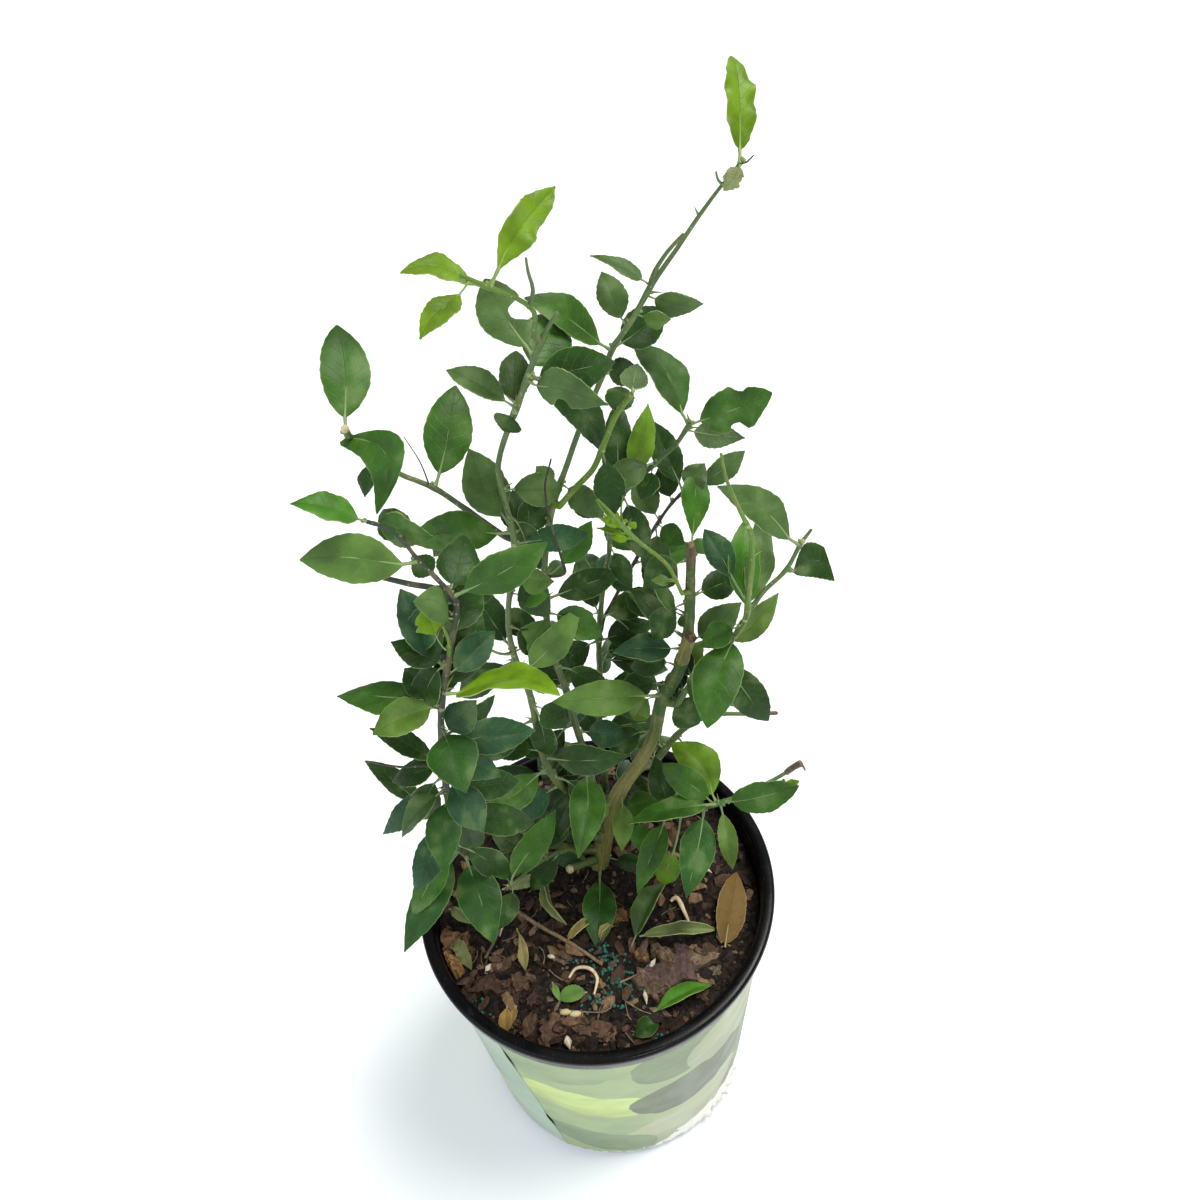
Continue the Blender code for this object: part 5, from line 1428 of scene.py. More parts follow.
@dataclass(frozen=True)
class EarthFinish(Finish):
    """Loose dark compost, or bark and twigs whose colour is in their tint."""

    tinted: bool = False
    dark: Colour = srgb(10, 8, 7)
    brown: Colour = srgb(48, 36, 26)
    grit: Colour = srgb(124, 102, 80)
    size: float = 3.0

    def material(self, effects: Effects) -> bpy.types.Material:
        """The compost's or bark's material."""
        made, wire, shader = self.begin()
        mottle = effects.place(wire, effects.mottle, self.size, 0.9, 0.10)
        fibres = wire.noise(wire.stretch(wire.object_place(), (420.0, 160.0, 900.0)), 1.0, 4.0, 0.7)
        share = wire.rise(mottle.outputs["Blotches"], 0.38, 0.66)
        if self.tinted:
            tint = wire.node("ShaderNodeAttribute", attribute_name=TINT_NAME)
            shade = wire.rise(fibres, 0.3, 0.7, 0.55, 1.25)
            colour = wire.mix(1.0, tint.outputs["Color"], wire.grey(shade), blend="MULTIPLY")
            colour = wire.mix(wire.product(share, 0.25), colour, self.dark)
        else:
            colour = wire.mix(share, self.dark, self.brown)
        colour = wire.mix(wire.product(mottle.outputs["Specks"], 0.45), colour, self.grit)
        wire.feed(shader.inputs["Base Color"], colour)
        wire.feed(shader.inputs["Roughness"], wire.rise(fibres, 0.3, 0.7, self.roughness - 0.12, self.roughness + 0.1))
        height = wire.math("ADD", fibres, wire.product(mottle.outputs["Fine"], 0.6))
        wire.feed(shader.inputs["Normal"], wire.bump(height, 0.7 * MM))
        return made


@dataclass(frozen=True)
class PrillFinish(Finish):
    """Coated feed pellets, teal with darker and dusty ones among them."""

    def material(self, effects: Effects) -> bpy.types.Material:
        """The pellets' material."""
        made, wire, shader = self.begin()
        tint = wire.node("ShaderNodeAttribute", attribute_name=TINT_NAME)
        mottle = effects.place(wire, effects.mottle, 1.4, 0.5, 0.15)
        share = wire.rise(mottle.outputs["Blotches"], 0.4, 0.7, 0.0, 0.35)
        wire.feed(shader.inputs["Base Color"], wire.mix(share, tint.outputs["Color"], srgb(58, 50, 42)))
        wire.feed(shader.inputs["Normal"], wire.bump(mottle.outputs["Fine"], 0.12 * MM))
        return made


class Finishes:
    """Every material of the plant and its pot."""

    def __init__(self) -> None:
        """Builds the shared effects and the materials."""
        effects = Effects()
        self.leaf_upper = LeafFinish("leaf_upper", 0.42, specular=0.22).material(effects)
        self.leaf_under = LeafFinish(
            "leaf_under", 0.66, specular=0.3, vein_colour=srgb(156, 170, 128), blotch_and_sheen_colour=srgb(140, 152, 120),
            vein_share=0.34, blotch_and_sheen_share=0.2, dull=0.62, dull_colour=srgb(86, 110, 68), relief=0.3 * MM,
        ).material(effects)
        self.dry_leaf = LeafFinish(
            "dry_leaf", 0.62, specular=0.3, vein_colour=srgb(186, 162, 108), blotch_and_sheen_colour=srgb(96, 70, 40),
            vein_share=0.14, blotch_and_sheen_share=0.7, relief=0.35 * MM).material(effects)
        self.leaf_edge = EdgeFinish("leaf_edge", 0.5).material(effects)
        self.rib = SkinFinish("leaf_rib", 0.5, streak_share=0.15, patch_share=0.05, pore_share=0.04,
                              relief=0.08 * MM).material(effects)
        self.stem = SkinFinish("stem_skin", 0.5, streak_share=0.30, patch_share=0.25).material(effects)
        self.bark = SkinFinish("trunk_bark", 0.66, streak_share=0.6, streak_colour=srgb(172, 170, 104),
                               patch_colour=srgb(168, 150, 94), patch_share=0.26,
                               pore_share=0.12, relief=0.5 * MM, round_scale=3.0, length_scale=0.9).material(effects)
        self.cut = CutFinish("cut_wood", 0.8, specular=0.2).material(effects)
        self.plastic = PlasticFinish("pot_plastic", 0.24, specular=0.16).material(effects)
        self.film = FilmFinish("printed_film", 0.38, specular=0.45).material(effects)
        self.soil = EarthFinish("soil", 0.86, specular=0.25).material(effects)
        self.litter = EarthFinish("litter", 0.78, specular=0.25, tinted=True, size=1.8).material(effects)
        self.prill = PrillFinish("feed_pellet", 0.42).material(effects)

    @property
    def living(self) -> tuple[bpy.types.Material, ...]:
        """The four finishes of a living leaf."""
        return self.leaf_upper, self.leaf_under, self.leaf_edge, self.rib


class Stems:
    """The trunk and the stems: their routes, their skins and what grows on them."""

    def __init__(self) -> None:
        """Works out the route of each stem, as the frame has it."""
        self.routes: dict[str, Route] = {}
        self.roots: dict[str, tuple[Vector, float]] = {}
        for plan in STEMS:
            self.routes[plan.name] = self.route_of(plan)

    def route_of(self, plan: StemPlan) -> Route:
        """The route of a stem, from the soil or its parent's skin to its end."""
        points = [PICTURE.behind((sight.across, sight.down), sight.behind) for sight in plan.route]
        radii = [sight.radius for sight in plan.route]
        if plan.parent is None:
            points[1] = PICTURE.on_level((plan.route[1].across, plan.route[1].down), SOIL_LEVEL)
            points[0] = points[1] - Vector((0, 0, ROOT_DEPTH))
        else:
            parent = self.routes[plan.parent]
            index = parent.nearest(points[0])
            after = parent.places[min(len(parent.places) - 1, index + 1)]
            axis = (after - parent.places[max(0, index - 1)]).normalized()
            foot = radii[0] * BRANCH_FOOT
            self.roots[plan.name] = (parent.places[index], parent.radii[index])
            points[0], outward = leave_surface(parent.places[index], axis, parent.radii[index], points[1], foot)
            points.insert(1, points[0] + outward * (2 * foot))
            radii.insert(0, foot)
        return Route.smooth(points, radii, STEM_STEP)

    def skin(self, plan: StemPlan, feet: Sequence[Vector]) -> Route:
        """The stem's route with fine steps, swollen at its leaves and flared into its parent."""
        coarse = self.routes[plan.name]
        fine = Route.smooth(coarse.places, coarse.radii, SKIN_STEP)
        base = plan.route[0].radius
        start = fine.places[0]
        share = SKIN_SHARES.get(plan.name, SKIN_SHARE)
        for index, place in enumerate(fine.places):
            swell = sum(math.exp(-(((place - foot).length / (2.4 * MM)) ** 2)) for foot in feet)
            radius = fine.radii[index]
            if plan.parent:
                away = (place - start).length
                wide = min(base * 1.4, self.roots[plan.name][1] * 1.2)
                radius = max(radius, base + (wide - base) * math.exp(-away / (3 * MM)) if away < 15 * MM else 0.0)
            thinned = 1.0 - (0.0 if plan.parent else 0.30 * max(0.0, index / len(fine.places) - 0.6) / 0.4)
            fine.radii[index] = radius * share * thinned + 0.22 * MM * min(1.2, swell)
        if plan.parent:
            root, parent_radius = self.roots[plan.name]
            fine.places.insert(0, root)
            fine.radii.insert(0, min(base * 1.2, parent_radius * 0.6))
        if not plan.pruned:
            end, before = fine.places[-1], fine.places[-2]
            along, radius = (end - before).normalized(), fine.radii[-1]
            for reach, share in ((0.5, 0.86), (0.85, 0.5), (1.0, 0.06)):
                fine.places.append(end + along * radius * reach)
                fine.radii.append(radius * share)
        return fine

    def build(self, finishes: Finishes, leaves: Sequence[LeafPlan]) -> None:
        """Builds each stem with its buds and thorns."""
        chance = random.Random(5)
        for number, plan in enumerate(STEMS):
            route = self.routes[plan.name]
            grown = [leaf for leaf in leaves if leaf.stem == plan.name]
            feet = [(route.under_sight(leaf.foot), leaf) for leaf in grown]
            name = f"{plan.name}_skin"
            piece = Piece(name, finishes.bark if plan.parent is None else finishes.stem, finishes.cut)
            low, high = plan.low.value, plan.high.value

            change = (0.5, 8.0) if plan.parent is None else (0.0, 1.3)

            dead = 0.96 if plan.pruned else 2.0

            def tone(share: float, low: Colour = low, high: Colour = high, change: Point = change,
                     dead: float = dead) -> Colour:
                if share > dead:
                    return StemTone.SCAR.value
                return lighter(low, max(0.0, min(1.0, (share - change[0]) * change[1])), high)

            skin = self.skin(plan, [foot[0] for foot, _ in feet])
            if plan.parent is None:
                piece.tube(skin, 36, tone, lump=0.06, seed=1.0, cap_slot=1, ridge=0.16)
            else:
                piece.tube(skin, 14, tone, lump=0.05, seed=number * 7.0, cap_slot=1, ridge=0.05)
            for (place, axis, radius, _), leaf in feet:
                self.add_axil(piece, place, axis, radius, leaf, high, chance)
            for thorn in THORNS:
                if thorn[0] == plan.name:
                    self.add_thorn(piece, route, thorn[1], thorn[2], high)
            for bud in BUDS:
                if bud[0] == plan.name:
                    place, axis, radius, _ = route.under_sight(bud[1])
                    out = (EYE - place).normalized()
                    piece.blob(place + out * radius * 0.6, Vector((1.2, 1.2, 1.0)) * MM, lighter(high, 0.5), detail=2)
            for twig in TWIGS:
                if twig.stem == plan.name:
                    self.add_twig(piece, route, twig)
            if plan.pruned:
                end, radius = skin.places[-1], skin.radii[-1]
                piece.blob(end, Vector((1.05, 1.05, 0.8)) * radius, StemTone.SCAR.value, slot=1, detail=2, rough=0.12)
            piece.finish(plan.name, slot="old_bark" if plan.parent is None else "green_stem")

    def add_axil(self, piece: Piece, place: Vector, axis: Vector, radius: float, leaf: LeafPlan, colour: Colour,
                 chance: random.Random) -> None:
        """Adds the bud, and on some the thorn, in the angle above a leaf's foot."""
        tip = PICTURE.line(leaf.tip) * (place - EYE).dot(PICTURE.forward) + EYE
        outward = (tip - place) - axis * (tip - place).dot(axis)
        outward.normalize()
        above = place + outward * radius * 0.66 + axis * 1.7 * MM
        turn = outward.to_track_quat("Z", "Y").to_matrix()
        piece.blob(above, Vector((0.75, 0.75, 1.1)) * MM, lighter(colour, 0.35), detail=2, turn=turn)
        if chance.random() < 0.3 and radius > 1.2 * MM:
            aim = (outward + axis * 0.55 + Vector((chance.uniform(-0.3, 0.3), chance.uniform(-0.3, 0.3), 0))).normalized()
            length = chance.uniform(2.5, 5.0) * MM
            self.cone(piece, above, above + aim * length, 0.55 * MM, lighter(colour, 0.2))

    def add_thorn(self, piece: Piece, route: Route, foot: Point, tip: Point, colour: Colour) -> None:
        """Adds a thorn between two sight points."""
        place, _, _, _ = route.under_sight(foot)
        depth = (place - EYE).dot(PICTURE.forward)
        self.cone(piece, place, EYE + PICTURE.line(tip) * depth, 0.6 * MM, lighter(colour, 0.3))

    @staticmethod
    def cone(piece: Piece, foot: Vector, tip: Vector, radius: float, colour: Colour) -> None:
        """Adds a slender cone."""
        middle = foot.lerp(tip, 0.55)
        piece.tube(Route([foot, foot.lerp(tip, 0.25), middle, tip], [radius, radius * 0.8, radius * 0.5, 0.06 * MM]), 6,
                   lambda share: lighter(colour, share * 0.5, srgb(150, 120, 70)))

    @staticmethod
    def add_twig(piece: Piece, route: Route, twig: "Twig") -> None:
        """Adds a thin twig or stalk that follows sight points from the stem."""
        place, _, _, _ = route.under_sight(twig.points[0])
        points = [place]
        for index, point in enumerate(twig.points[1:], 1):
            points.append(PICTURE.behind(point, place.y + twig.away * MM * index / (len(twig.points) - 1)))
        radii = [twig.radius * MM * (1 - twig.taper * index / (len(points) - 1)) for index in range(len(points))]
        piece.tube(Route.smooth(points, radii, 2.5 * MM), 8, twig.tone.value, lump=0.15, cap_slot=1)
        if not twig.taper:
            piece.blob(points[-1], Vector((1.1, 1.1, 1.1)) * radii[-1], StemTone.CREAM.value, detail=2, rough=0.1)


@dataclass(frozen=True)
class Twig:
    """A thin side twig: its stem, its sight points, its radius in mm, its tone and how far it leads back in mm."""

    stem: str
    points: tuple[Point, ...]
    radius: float
    tone: StemTone
    away: float = -6.0
    taper: float = 0.5


TWIGS = (
    Twig("trunk", ((683, 660), (686, 648), (690, 637)), 3.5, StemTone.BARK, -4, 0.08),
    Twig("tall_stem", ((548, 578), (564, 574), (562, 560), (553, 530), (545, 490), (551, 459)), 0.75, StemTone.BLACK, -16),
    Twig("young_shoot", ((622, 528), (621, 512), (623, 496)), 0.5, StemTone.LIME, -2),
    Twig("top_left_twig", ((533, 305), (533, 290), (528, 272), (526, 258)), 0.8, StemTone.PALE, -4),
    Twig("far_left_stem", ((431, 485), (420, 462), (404, 437)), 0.35, StemTone.DARK, -6),
    Twig("tall_stem", ((741, 168), (747, 162), (754, 155)), 0.4, StemTone.DARK, -2),
    Twig("tall_stem", ((730, 178), (724, 184), (718, 180), (716, 172)), 0.7, StemTone.PALE, -6),
    Twig("low_left_stem", ((447, 768), (424, 766), (400, 767), (366, 761)), 0.7, StemTone.DARK, 4),
    Twig("low_left_stem", ((450, 655), (449, 642), (443, 627)), 0.9, StemTone.LIME, -4),
    Twig("low_right_stem", ((787, 772), (794, 767), (801, 763)), 1.5, StemTone.SCAR, -1, -0.2),
    Twig("low_right_stem", ((797, 768), (803, 766), (805, 770)), 1.0, StemTone.SCAR, -1),
    Twig("low_right_stem", ((640, 817), (655, 818), (670, 820)), 0.9, StemTone.PALE, -8),
    Twig("low_right_stem", ((655, 820), (668, 816), (680, 815)), 0.8, StemTone.PALE, -8),
    Twig("trunk", ((606, 860), (590, 861), (570, 869)), 2.3, StemTone.PALE, -14, 0.0),
    Twig("tall_stem", ((648, 290), (655, 271), (668, 251), (684, 234)), 1.0, StemTone.PALE, -3, 0.3),
    Twig("far_left_stem", ((354, 440), (349, 436), (345, 429)), 1.5, StemTone.PALE, -9, 0.0),
)
THORNS = (
    ("tall_stem", (650, 281), (660, 264)), ("tall_stem", (698, 219), (709, 205)), ("tall_stem", (705, 208), (712, 200)),
    ("tall_stem", (700, 216), (694, 206)), ("tall_stem", (684, 239), (692, 229)), ("tall_stem", (600, 384), (592, 374)),
    ("right_stem", (750, 556), (762, 551)), ("right_stem", (746, 612), (756, 606)), ("middle_stem", (604, 580), (596, 570)),
)
BUDS = (
    ("left_main_stem", (538, 378)), ("left_main_stem", (510, 408)), ("left_main_stem", (503, 657)),
    ("right_stem", (748, 528)), ("right_stem", (733, 643)), ("right_stem", (748, 620)), ("low_left_stem", (440, 712)),
    ("low_left_stem", (443, 778)), ("left_main_stem", (512, 545)), ("tall_stem", (548, 533)),
    ("outer_right_stem", (797, 540)), ("trunk", (690, 635)), ("middle_stem", (601, 640)),
)


class Foliage:
    """The leaves: the large ones that the frame holds, the smaller ones and those behind."""

    def __init__(self, stems: Stems, finishes: Finishes) -> None:
        """Keeps what the leaves grow from and are made of."""
        self.stems = stems
        self.finishes = finishes
        self.behind = self.back_leaves()

    @property
    def plans(self) -> list[LeafPlan]:
        """Every leaf's plan."""
        return [*NAMED_LEAVES.values(), *SMALL_LEAVES, ARCHED_LEAF, *self.behind]

    def back_leaves(self) -> list[LeafPlan]:
        """Leaves that point away from the eye, so that the plant is leafy from behind too."""
        chance = random.Random(11)
        made = []
        hosts = ("trunk", "tall_stem", "middle_stem", "left_main_stem", "low_left_stem", "right_stem",
                 "cut_right_branch", "low_right_stem")
        for index in range(44):
            host = hosts[index % len(hosts)]
            route = self.stems.routes[host]
            places = [place for place in route.places if place.z > 185 * MM and PICTURE.seen(place)[1] > 540
                      and PICTURE.seen(place)[0] < 700]
            foot = PICTURE.seen(chance.choice(places))
            tip = (foot[0] + chance.uniform(-20, 20), foot[1] - chance.uniform(16, 30))
            made.append(LeafPlan(host, foot, tip, chance.uniform(14, 20), chance.uniform(-68, -54),
                                 chance.uniform(-25, 25), chance.choice((Tone.DARK, Tone.MID, Tone.BLUISH)),
                                 chance.choice((OVAL, BROAD, TIPPED))))
        return made

    def leaf(self, piece: Piece, plan: LeafPlan, seed: float, cells: tuple[int, int] = BLADE_CELLS) -> None:
        """Adds one leaf to a piece."""
        midrib = Midrib.grown(plan, self.stems.routes[plan.stem])
        length = (midrib.points[3] - midrib.points[0]).length
        form = plan.form
        change = [noise.noise(Vector((seed * 3.1, shift, 2.7))) for shift in (0.0, 4.0, 8.0, 12.0)]
        form = replace(form, fold=form.fold + 16 * change[0], wave=form.wave * (1.4 + 1.4 * change[1]),
                       bow=form.bow + plan.bow + 0.03 * change[2], curl=form.curl + 0.07 * abs(change[3]))
        plan = replace(plan, form=form)
        gloss = 0.5 + 0.5 * noise.noise(Vector((seed, 0.5, 0.5)))
        Blade(plan, midrib, seed, cells, min(0.62 * MM, max(0.25 * MM, length * 0.014)), gloss).build(piece)

    def build(self) -> None:
        """Builds every leaf's piece."""
        for number, (node, plan) in enumerate(NAMED_LEAVES.items()):
            piece = Piece(f"{node.removeprefix('leaf_')}_leaf", *self.finishes.living)
            self.leaf(piece, plan, 1.37 * number + 0.6)
            young = plan.tone in (Tone.LIME, Tone.YELLOWISH)
            piece.finish(node, slot="young_leaf" if young else "leaf")
        piece = Piece("arched_leaf", *self.finishes.living)
        self.leaf(piece, ARCHED_LEAF, 71.0)
        piece.finish(slot="young_leaf")
        self.build_groups(SMALL_LEAVES, "small", BLADE_CELLS, 80.0)
        self.build_groups(self.behind, "back", BACK_CELLS, 300.0)

    def build_groups(self, plans: Sequence[LeafPlan], label: str, cells: tuple[int, int], seed: float) -> None:
        """Builds the leaves of each stem as one piece, each a little narrower than its plan."""
        for host in dict.fromkeys(plan.stem for plan in plans):
            piece = Piece(f"{host}_{label}_leaves", *self.finishes.living)
            for number, plan in enumerate(plans):
                if plan.stem == host:
                    width, tip = plan.width * SMALL_WIDTH_SHARE, plan.tip
                    if plan.lean < INNER_LEAN:
                        tip = tuple(b + (b - a) * INNER_STRETCH for a, b in zip(plan.foot, plan.tip))
                        width = min(plan.width, math.dist(plan.foot, tip) * INNER_WIDTH_LIMIT)
                    form = (POINTED, TIPPED, OVAL)[number % 3] if plan.form is OVAL else plan.form
                    plan = replace(plan, tip=tip, width=width, form=form)
                    self.leaf(piece, plan, seed + 1.71 * number, cells)
            piece.finish(slot="leaf")


def wall_radius(level: float) -> float:
    """The pot's outer radius at a height; the wall widens evenly from the foot to the lip."""
    share = min(1.0, level / (POT_HEIGHT - LIP_DEPTH))
    return FOOT_RADIUS + (RIM_RADIUS - LIP_WIDTH - FOOT_RADIUS) * share


def rounded(corners: Sequence[tuple[float, float, float]], steps: int = 5) -> list[Point]:
    """A profile whose corners are turned into arcs.

    Args:
        corners: The radius, the height and the fillet of each corner, in millimetres.
        steps: The number of pieces of each arc.

    Returns:
        The profile's points, in metres.
    """
    made = []
    for index, (x, z, fillet) in enumerate(corners):
        corner = Vector((x, z)) * MM
        if fillet == 0 or index in (0, len(corners) - 1):
            made.append(tuple(corner))
            continue
        ends = []
        for other in (corners[index - 1], corners[index + 1]):
            reach = Vector(other[:2]) * MM - corner
            ends.append(corner + reach.normalized() * min(fillet * MM, reach.length * 0.48))
        for step in range(steps + 1):
            t = step / steps
            made.append(tuple(ends[0] * (1 - t) ** 2 + corner * (2 * t * (1 - t)) + ends[1] * t**2))
    return made


def lathe(piece: Piece, profile: Sequence[Point], steps: int, slot: int = 0) -> list:
    """Spins a profile about the pot's axis.

    Args:
        piece: The piece to add to.
        profile: The radius and height of its points, in metres.
        steps: The number of steps of the full turn.
        slot: The material slot.

    Returns:
        The new faces.
    """
    mesh = piece.mesh
    verts = [mesh.verts.new((radius, 0, height)) for radius, height in profile]
    edges = [mesh.edges.new(pair) for pair in zip(verts, verts[1:])]
    before = set(mesh.faces)
    bmesh.ops.spin(mesh, geom=verts + edges, cent=(0, 0, 0), axis=(0, 0, 1), angle=math.tau, steps=steps,
                   use_merge=True)
    faces = [face for face in mesh.faces if face not in before]
    bmesh.ops.remove_doubles(mesh, verts=list({vert for face in faces for vert in face.verts}), dist=1e-6)
    faces = [face for face in mesh.faces if face not in before]
    bmesh.ops.recalc_face_normals(mesh, faces=faces)
    for face in faces:
        face.material_index = slot
        face.smooth = True
    return faces


@dataclass
class Pot:
    """The black nursery pot: a tapered wall with a rolled lip, a foot ring and drain holes."""

    lip_outer: float = 100.0
    lip_inner: float = 92.4
    drain_count: int = 8
    drain_radius: float = 5.0
    drain_circle: float = 60.0
    steps: int = 180

    def profile(self) -> list[Point]:
        """The pot's closed profile from the middle of its underside, over the lip, to the middle of its floor."""
        wall = WALL / MM
        return rounded((
            (0, 0.9, 0), (70, 0.9, 0.5), (72, 0.05, 0.5), (81.2, 0.05, 2.4), (wall_radius(4.4 * MM) / MM, 4.4, 2.4),
            (93.7, 171.5, 0.4), (94.0, 181.0, 1.2), (98.4, 181.0, 1.2), (97.0, 174.3, 0.4), (98.2, 174.1, 0.7),
            (self.lip_outer, 184.9, 3.4), (self.lip_inner + 1.2, 184.9, 2.0), (self.lip_inner, 181.6, 0.8),
            (self.lip_inner, 178.2, 0.5), (self.lip_inner - 0.5, 177.5, 0.4), (self.lip_inner - 0.5, 172.5, 0.5),
            (wall_radius(170 * MM) / MM - wall, 171.0, 0.5), (wall_radius(3 * MM) / MM - wall, 3.0, 2.0), (0, 3.0, 0)))

    def build(self, finishes: Finishes) -> None:
        """Builds the pot."""
        piece = Piece("pot_shell", finishes.plastic)
        lathe(piece, self.profile(), self.steps)
        pot = piece.finish("nursery_pot", slot="pot_plastic")
        holes = bmesh.new()
        for index in range(self.drain_count):
            angle = math.tau * (index + 0.5) / self.drain_count
            place = Vector((math.cos(angle), math.sin(angle), 0)) * self.drain_circle * MM
            bmesh.ops.create_cone(holes, cap_ends=True, segments=28, radius1=self.drain_radius * MM,
                                  radius2=self.drain_radius * MM, depth=12 * MM, matrix=Matrix.Translation(place))
        data = bpy.data.meshes.new("drain_holes")
        holes.to_mesh(data)
        holes.free()
        cutter = bpy.data.objects.new("drain_holes", data)
        bpy.context.scene.collection.objects.link(cutter)
        cut = pot.modifiers.new("drains", "BOOLEAN")
        cut.operation = "DIFFERENCE"
        cut.object = cutter
        cut.solver = "EXACT"
        shown = pot.evaluated_get(bpy.context.evaluated_depsgraph_get())
        drilled = bpy.data.meshes.new_from_object(shown)
        pot.modifiers.clear()
        pot.data = drilled
        bpy.data.objects.remove(cutter)
        log.info("pot_shell: %d faces with its drain holes", len(drilled.polygons))


@dataclass
class Sleeve:
    """The printed sleeve: a thin cone round the pot, with a slanted seam that gapes and a worn lower edge."""

    start: float = 232.0
    slant: float = 12.0
    thickness: float = 0.6
    cells: tuple[int, int] = (280, 40)

    def place(self, u: float, v: float) -> Vector:
        """The place of a point on the sleeve's outer face."""
        across = u * 565
        edge = 4.0 * self.worn(across) * (0.35 + 1.2 * noise.noise(Vector((across * 0.16, 0, 3))))
        edge += 0.9 * max(0.0, noise.noise(Vector((across * 0.3, 2, 5))))
        bottom = SLEEVE_BOTTOM + max(0.0, edge) * MM
        level = bottom + (SLEEVE_TOP - bottom) * v
        angle = math.radians(self.start + self.slant * (1 - v) + 360 * u) + (0.5 - u) * self.gap(v)
        radius = wall_radius(level) + (0.3 + self.thickness) * MM
        ripple = 0.18 * noise.noise(Vector((across * 0.03, v * 4, 8)))
        near_edge = max(0.0, 1 - v * 14) * (0.35 + self.worn(across)) + max(0.0, v * 20 - 19) * 0.25
        near_seam = math.exp(-u * 90) + math.exp(-(1 - u) * 90)
        lift = 0.45 * near_edge * abs(noise.noise(Vector((across * 0.2, 1, 1)))) + 0.5 * near_seam
        frayed = 4.5 * self.worn(across) * max(0.0, 1 - v * 16) ** 1.5 * (0.2 + 1.6 * abs(noise.noise(Vector((across * 0.33, 4, 1)))))
        radius += (0.1 + ripple * 0.4 + lift + frayed) * MM
        return Vector((math.cos(angle) * radius, math.sin(angle) * radius, level))

    @staticmethod
    def gap(v: float) -> float:
        """The angle by which the seam stands open at a share of the height; it gapes in two places."""
        return 0.006 + 0.034 * math.exp(-(((v - 0.82) / 0.07) ** 2)) + 0.040 * math.exp(-(((v - 0.27) / 0.05) ** 2))

    @staticmethod
    def worn(across: float) -> float:
        """How worn the lower edge is at a distance round from the seam, between 0 and 1."""
        return math.exp(-(((across - 116) / 44) ** 2))

    def build(self, finishes: Finishes) -> None:
        """Builds the sleeve."""
        piece = Piece("sleeve_film", finishes.film)
        _, faces = piece.sheet(self.cells, self.place, (565.0, 166.0))
        bmesh.ops.recalc_face_normals(piece.mesh, faces=faces)
        middle = faces[0]
        if middle.normal.dot(middle.calc_center_median() * Vector((1, 1, 0))) < 0:
            bmesh.ops.reverse_faces(piece.mesh, faces=faces)
        bmesh.ops.solidify(piece.mesh, geom=faces, thickness=self.thickness * MM)
        piece.finish("printed_sleeve", slot="printed_film")


class Soil:
    """The compost, its top rough and slightly crowned."""

    def __init__(self) -> None:
        """Works out the edge of the compost's top."""
        self.edge = wall_radius(SOIL_LEVEL) - WALL - 0.5 * MM

    def height(self, x: float, y: float) -> float:
        """The height of the compost's rough top at a place."""
        radius = math.hypot(x, y)
        edge = wall_radius(SOIL_LEVEL)
        level = SOIL_LEVEL + SOIL_CROWN * SOIL_SHAPE[-1][1]
        for (inner, high), (outer, low) in zip(SOIL_SHAPE, SOIL_SHAPE[1:]):
            if radius <= outer * edge:
                share = (radius - inner * edge) / ((outer - inner) * edge)
                level = SOIL_LEVEL + SOIL_CROWN * (high * (1 - share) + low * share)
                break
        at = Vector((x, y, 0))
        rough = 2.2 * noise.noise(at * 45) + 1.2 * noise.noise(at * 130) + 0.8 * abs(noise.noise(at * 320))
        rough += 0.35 * noise.noise(at * 800)
        return level + rough * MM

    def build(self, finishes: Finishes) -> None:
        """Builds the compost."""
        piece = Piece("compost", finishes.soil)
        rings = 84
        top = [(self.edge * ring / rings, SOIL_LEVEL) for ring in range(rings + 1)]
        low = wall_radius(5 * MM) - WALL - 0.5 * MM
        profile = [*top, (self.edge - 0.2 * MM, 150 * MM), (low, 5 * MM), (low - 3 * MM, 3.3 * MM), (0, 3.3 * MM)]
        lathe(piece, profile, 264)
        for vert in piece.mesh.verts:
            if vert.co.z > SOIL_LEVEL - 0.1 * MM:
                vert.co.z = self.height(vert.co.x, vert.co.y)
        piece.finish("potting_soil", slot="soil")


@dataclass(frozen=True)
class Fallen:
    """A leaf that lies on the compost, from foot to tip as sight points, with its sizes in mm and degrees."""

    foot: Point
    tip: Point
    width: float
    rise: float
    turn: float
    tone: Tone
    form: Form
    lift: float = 1.5
    tip_lift: float = 1.5
    dry: bool = False


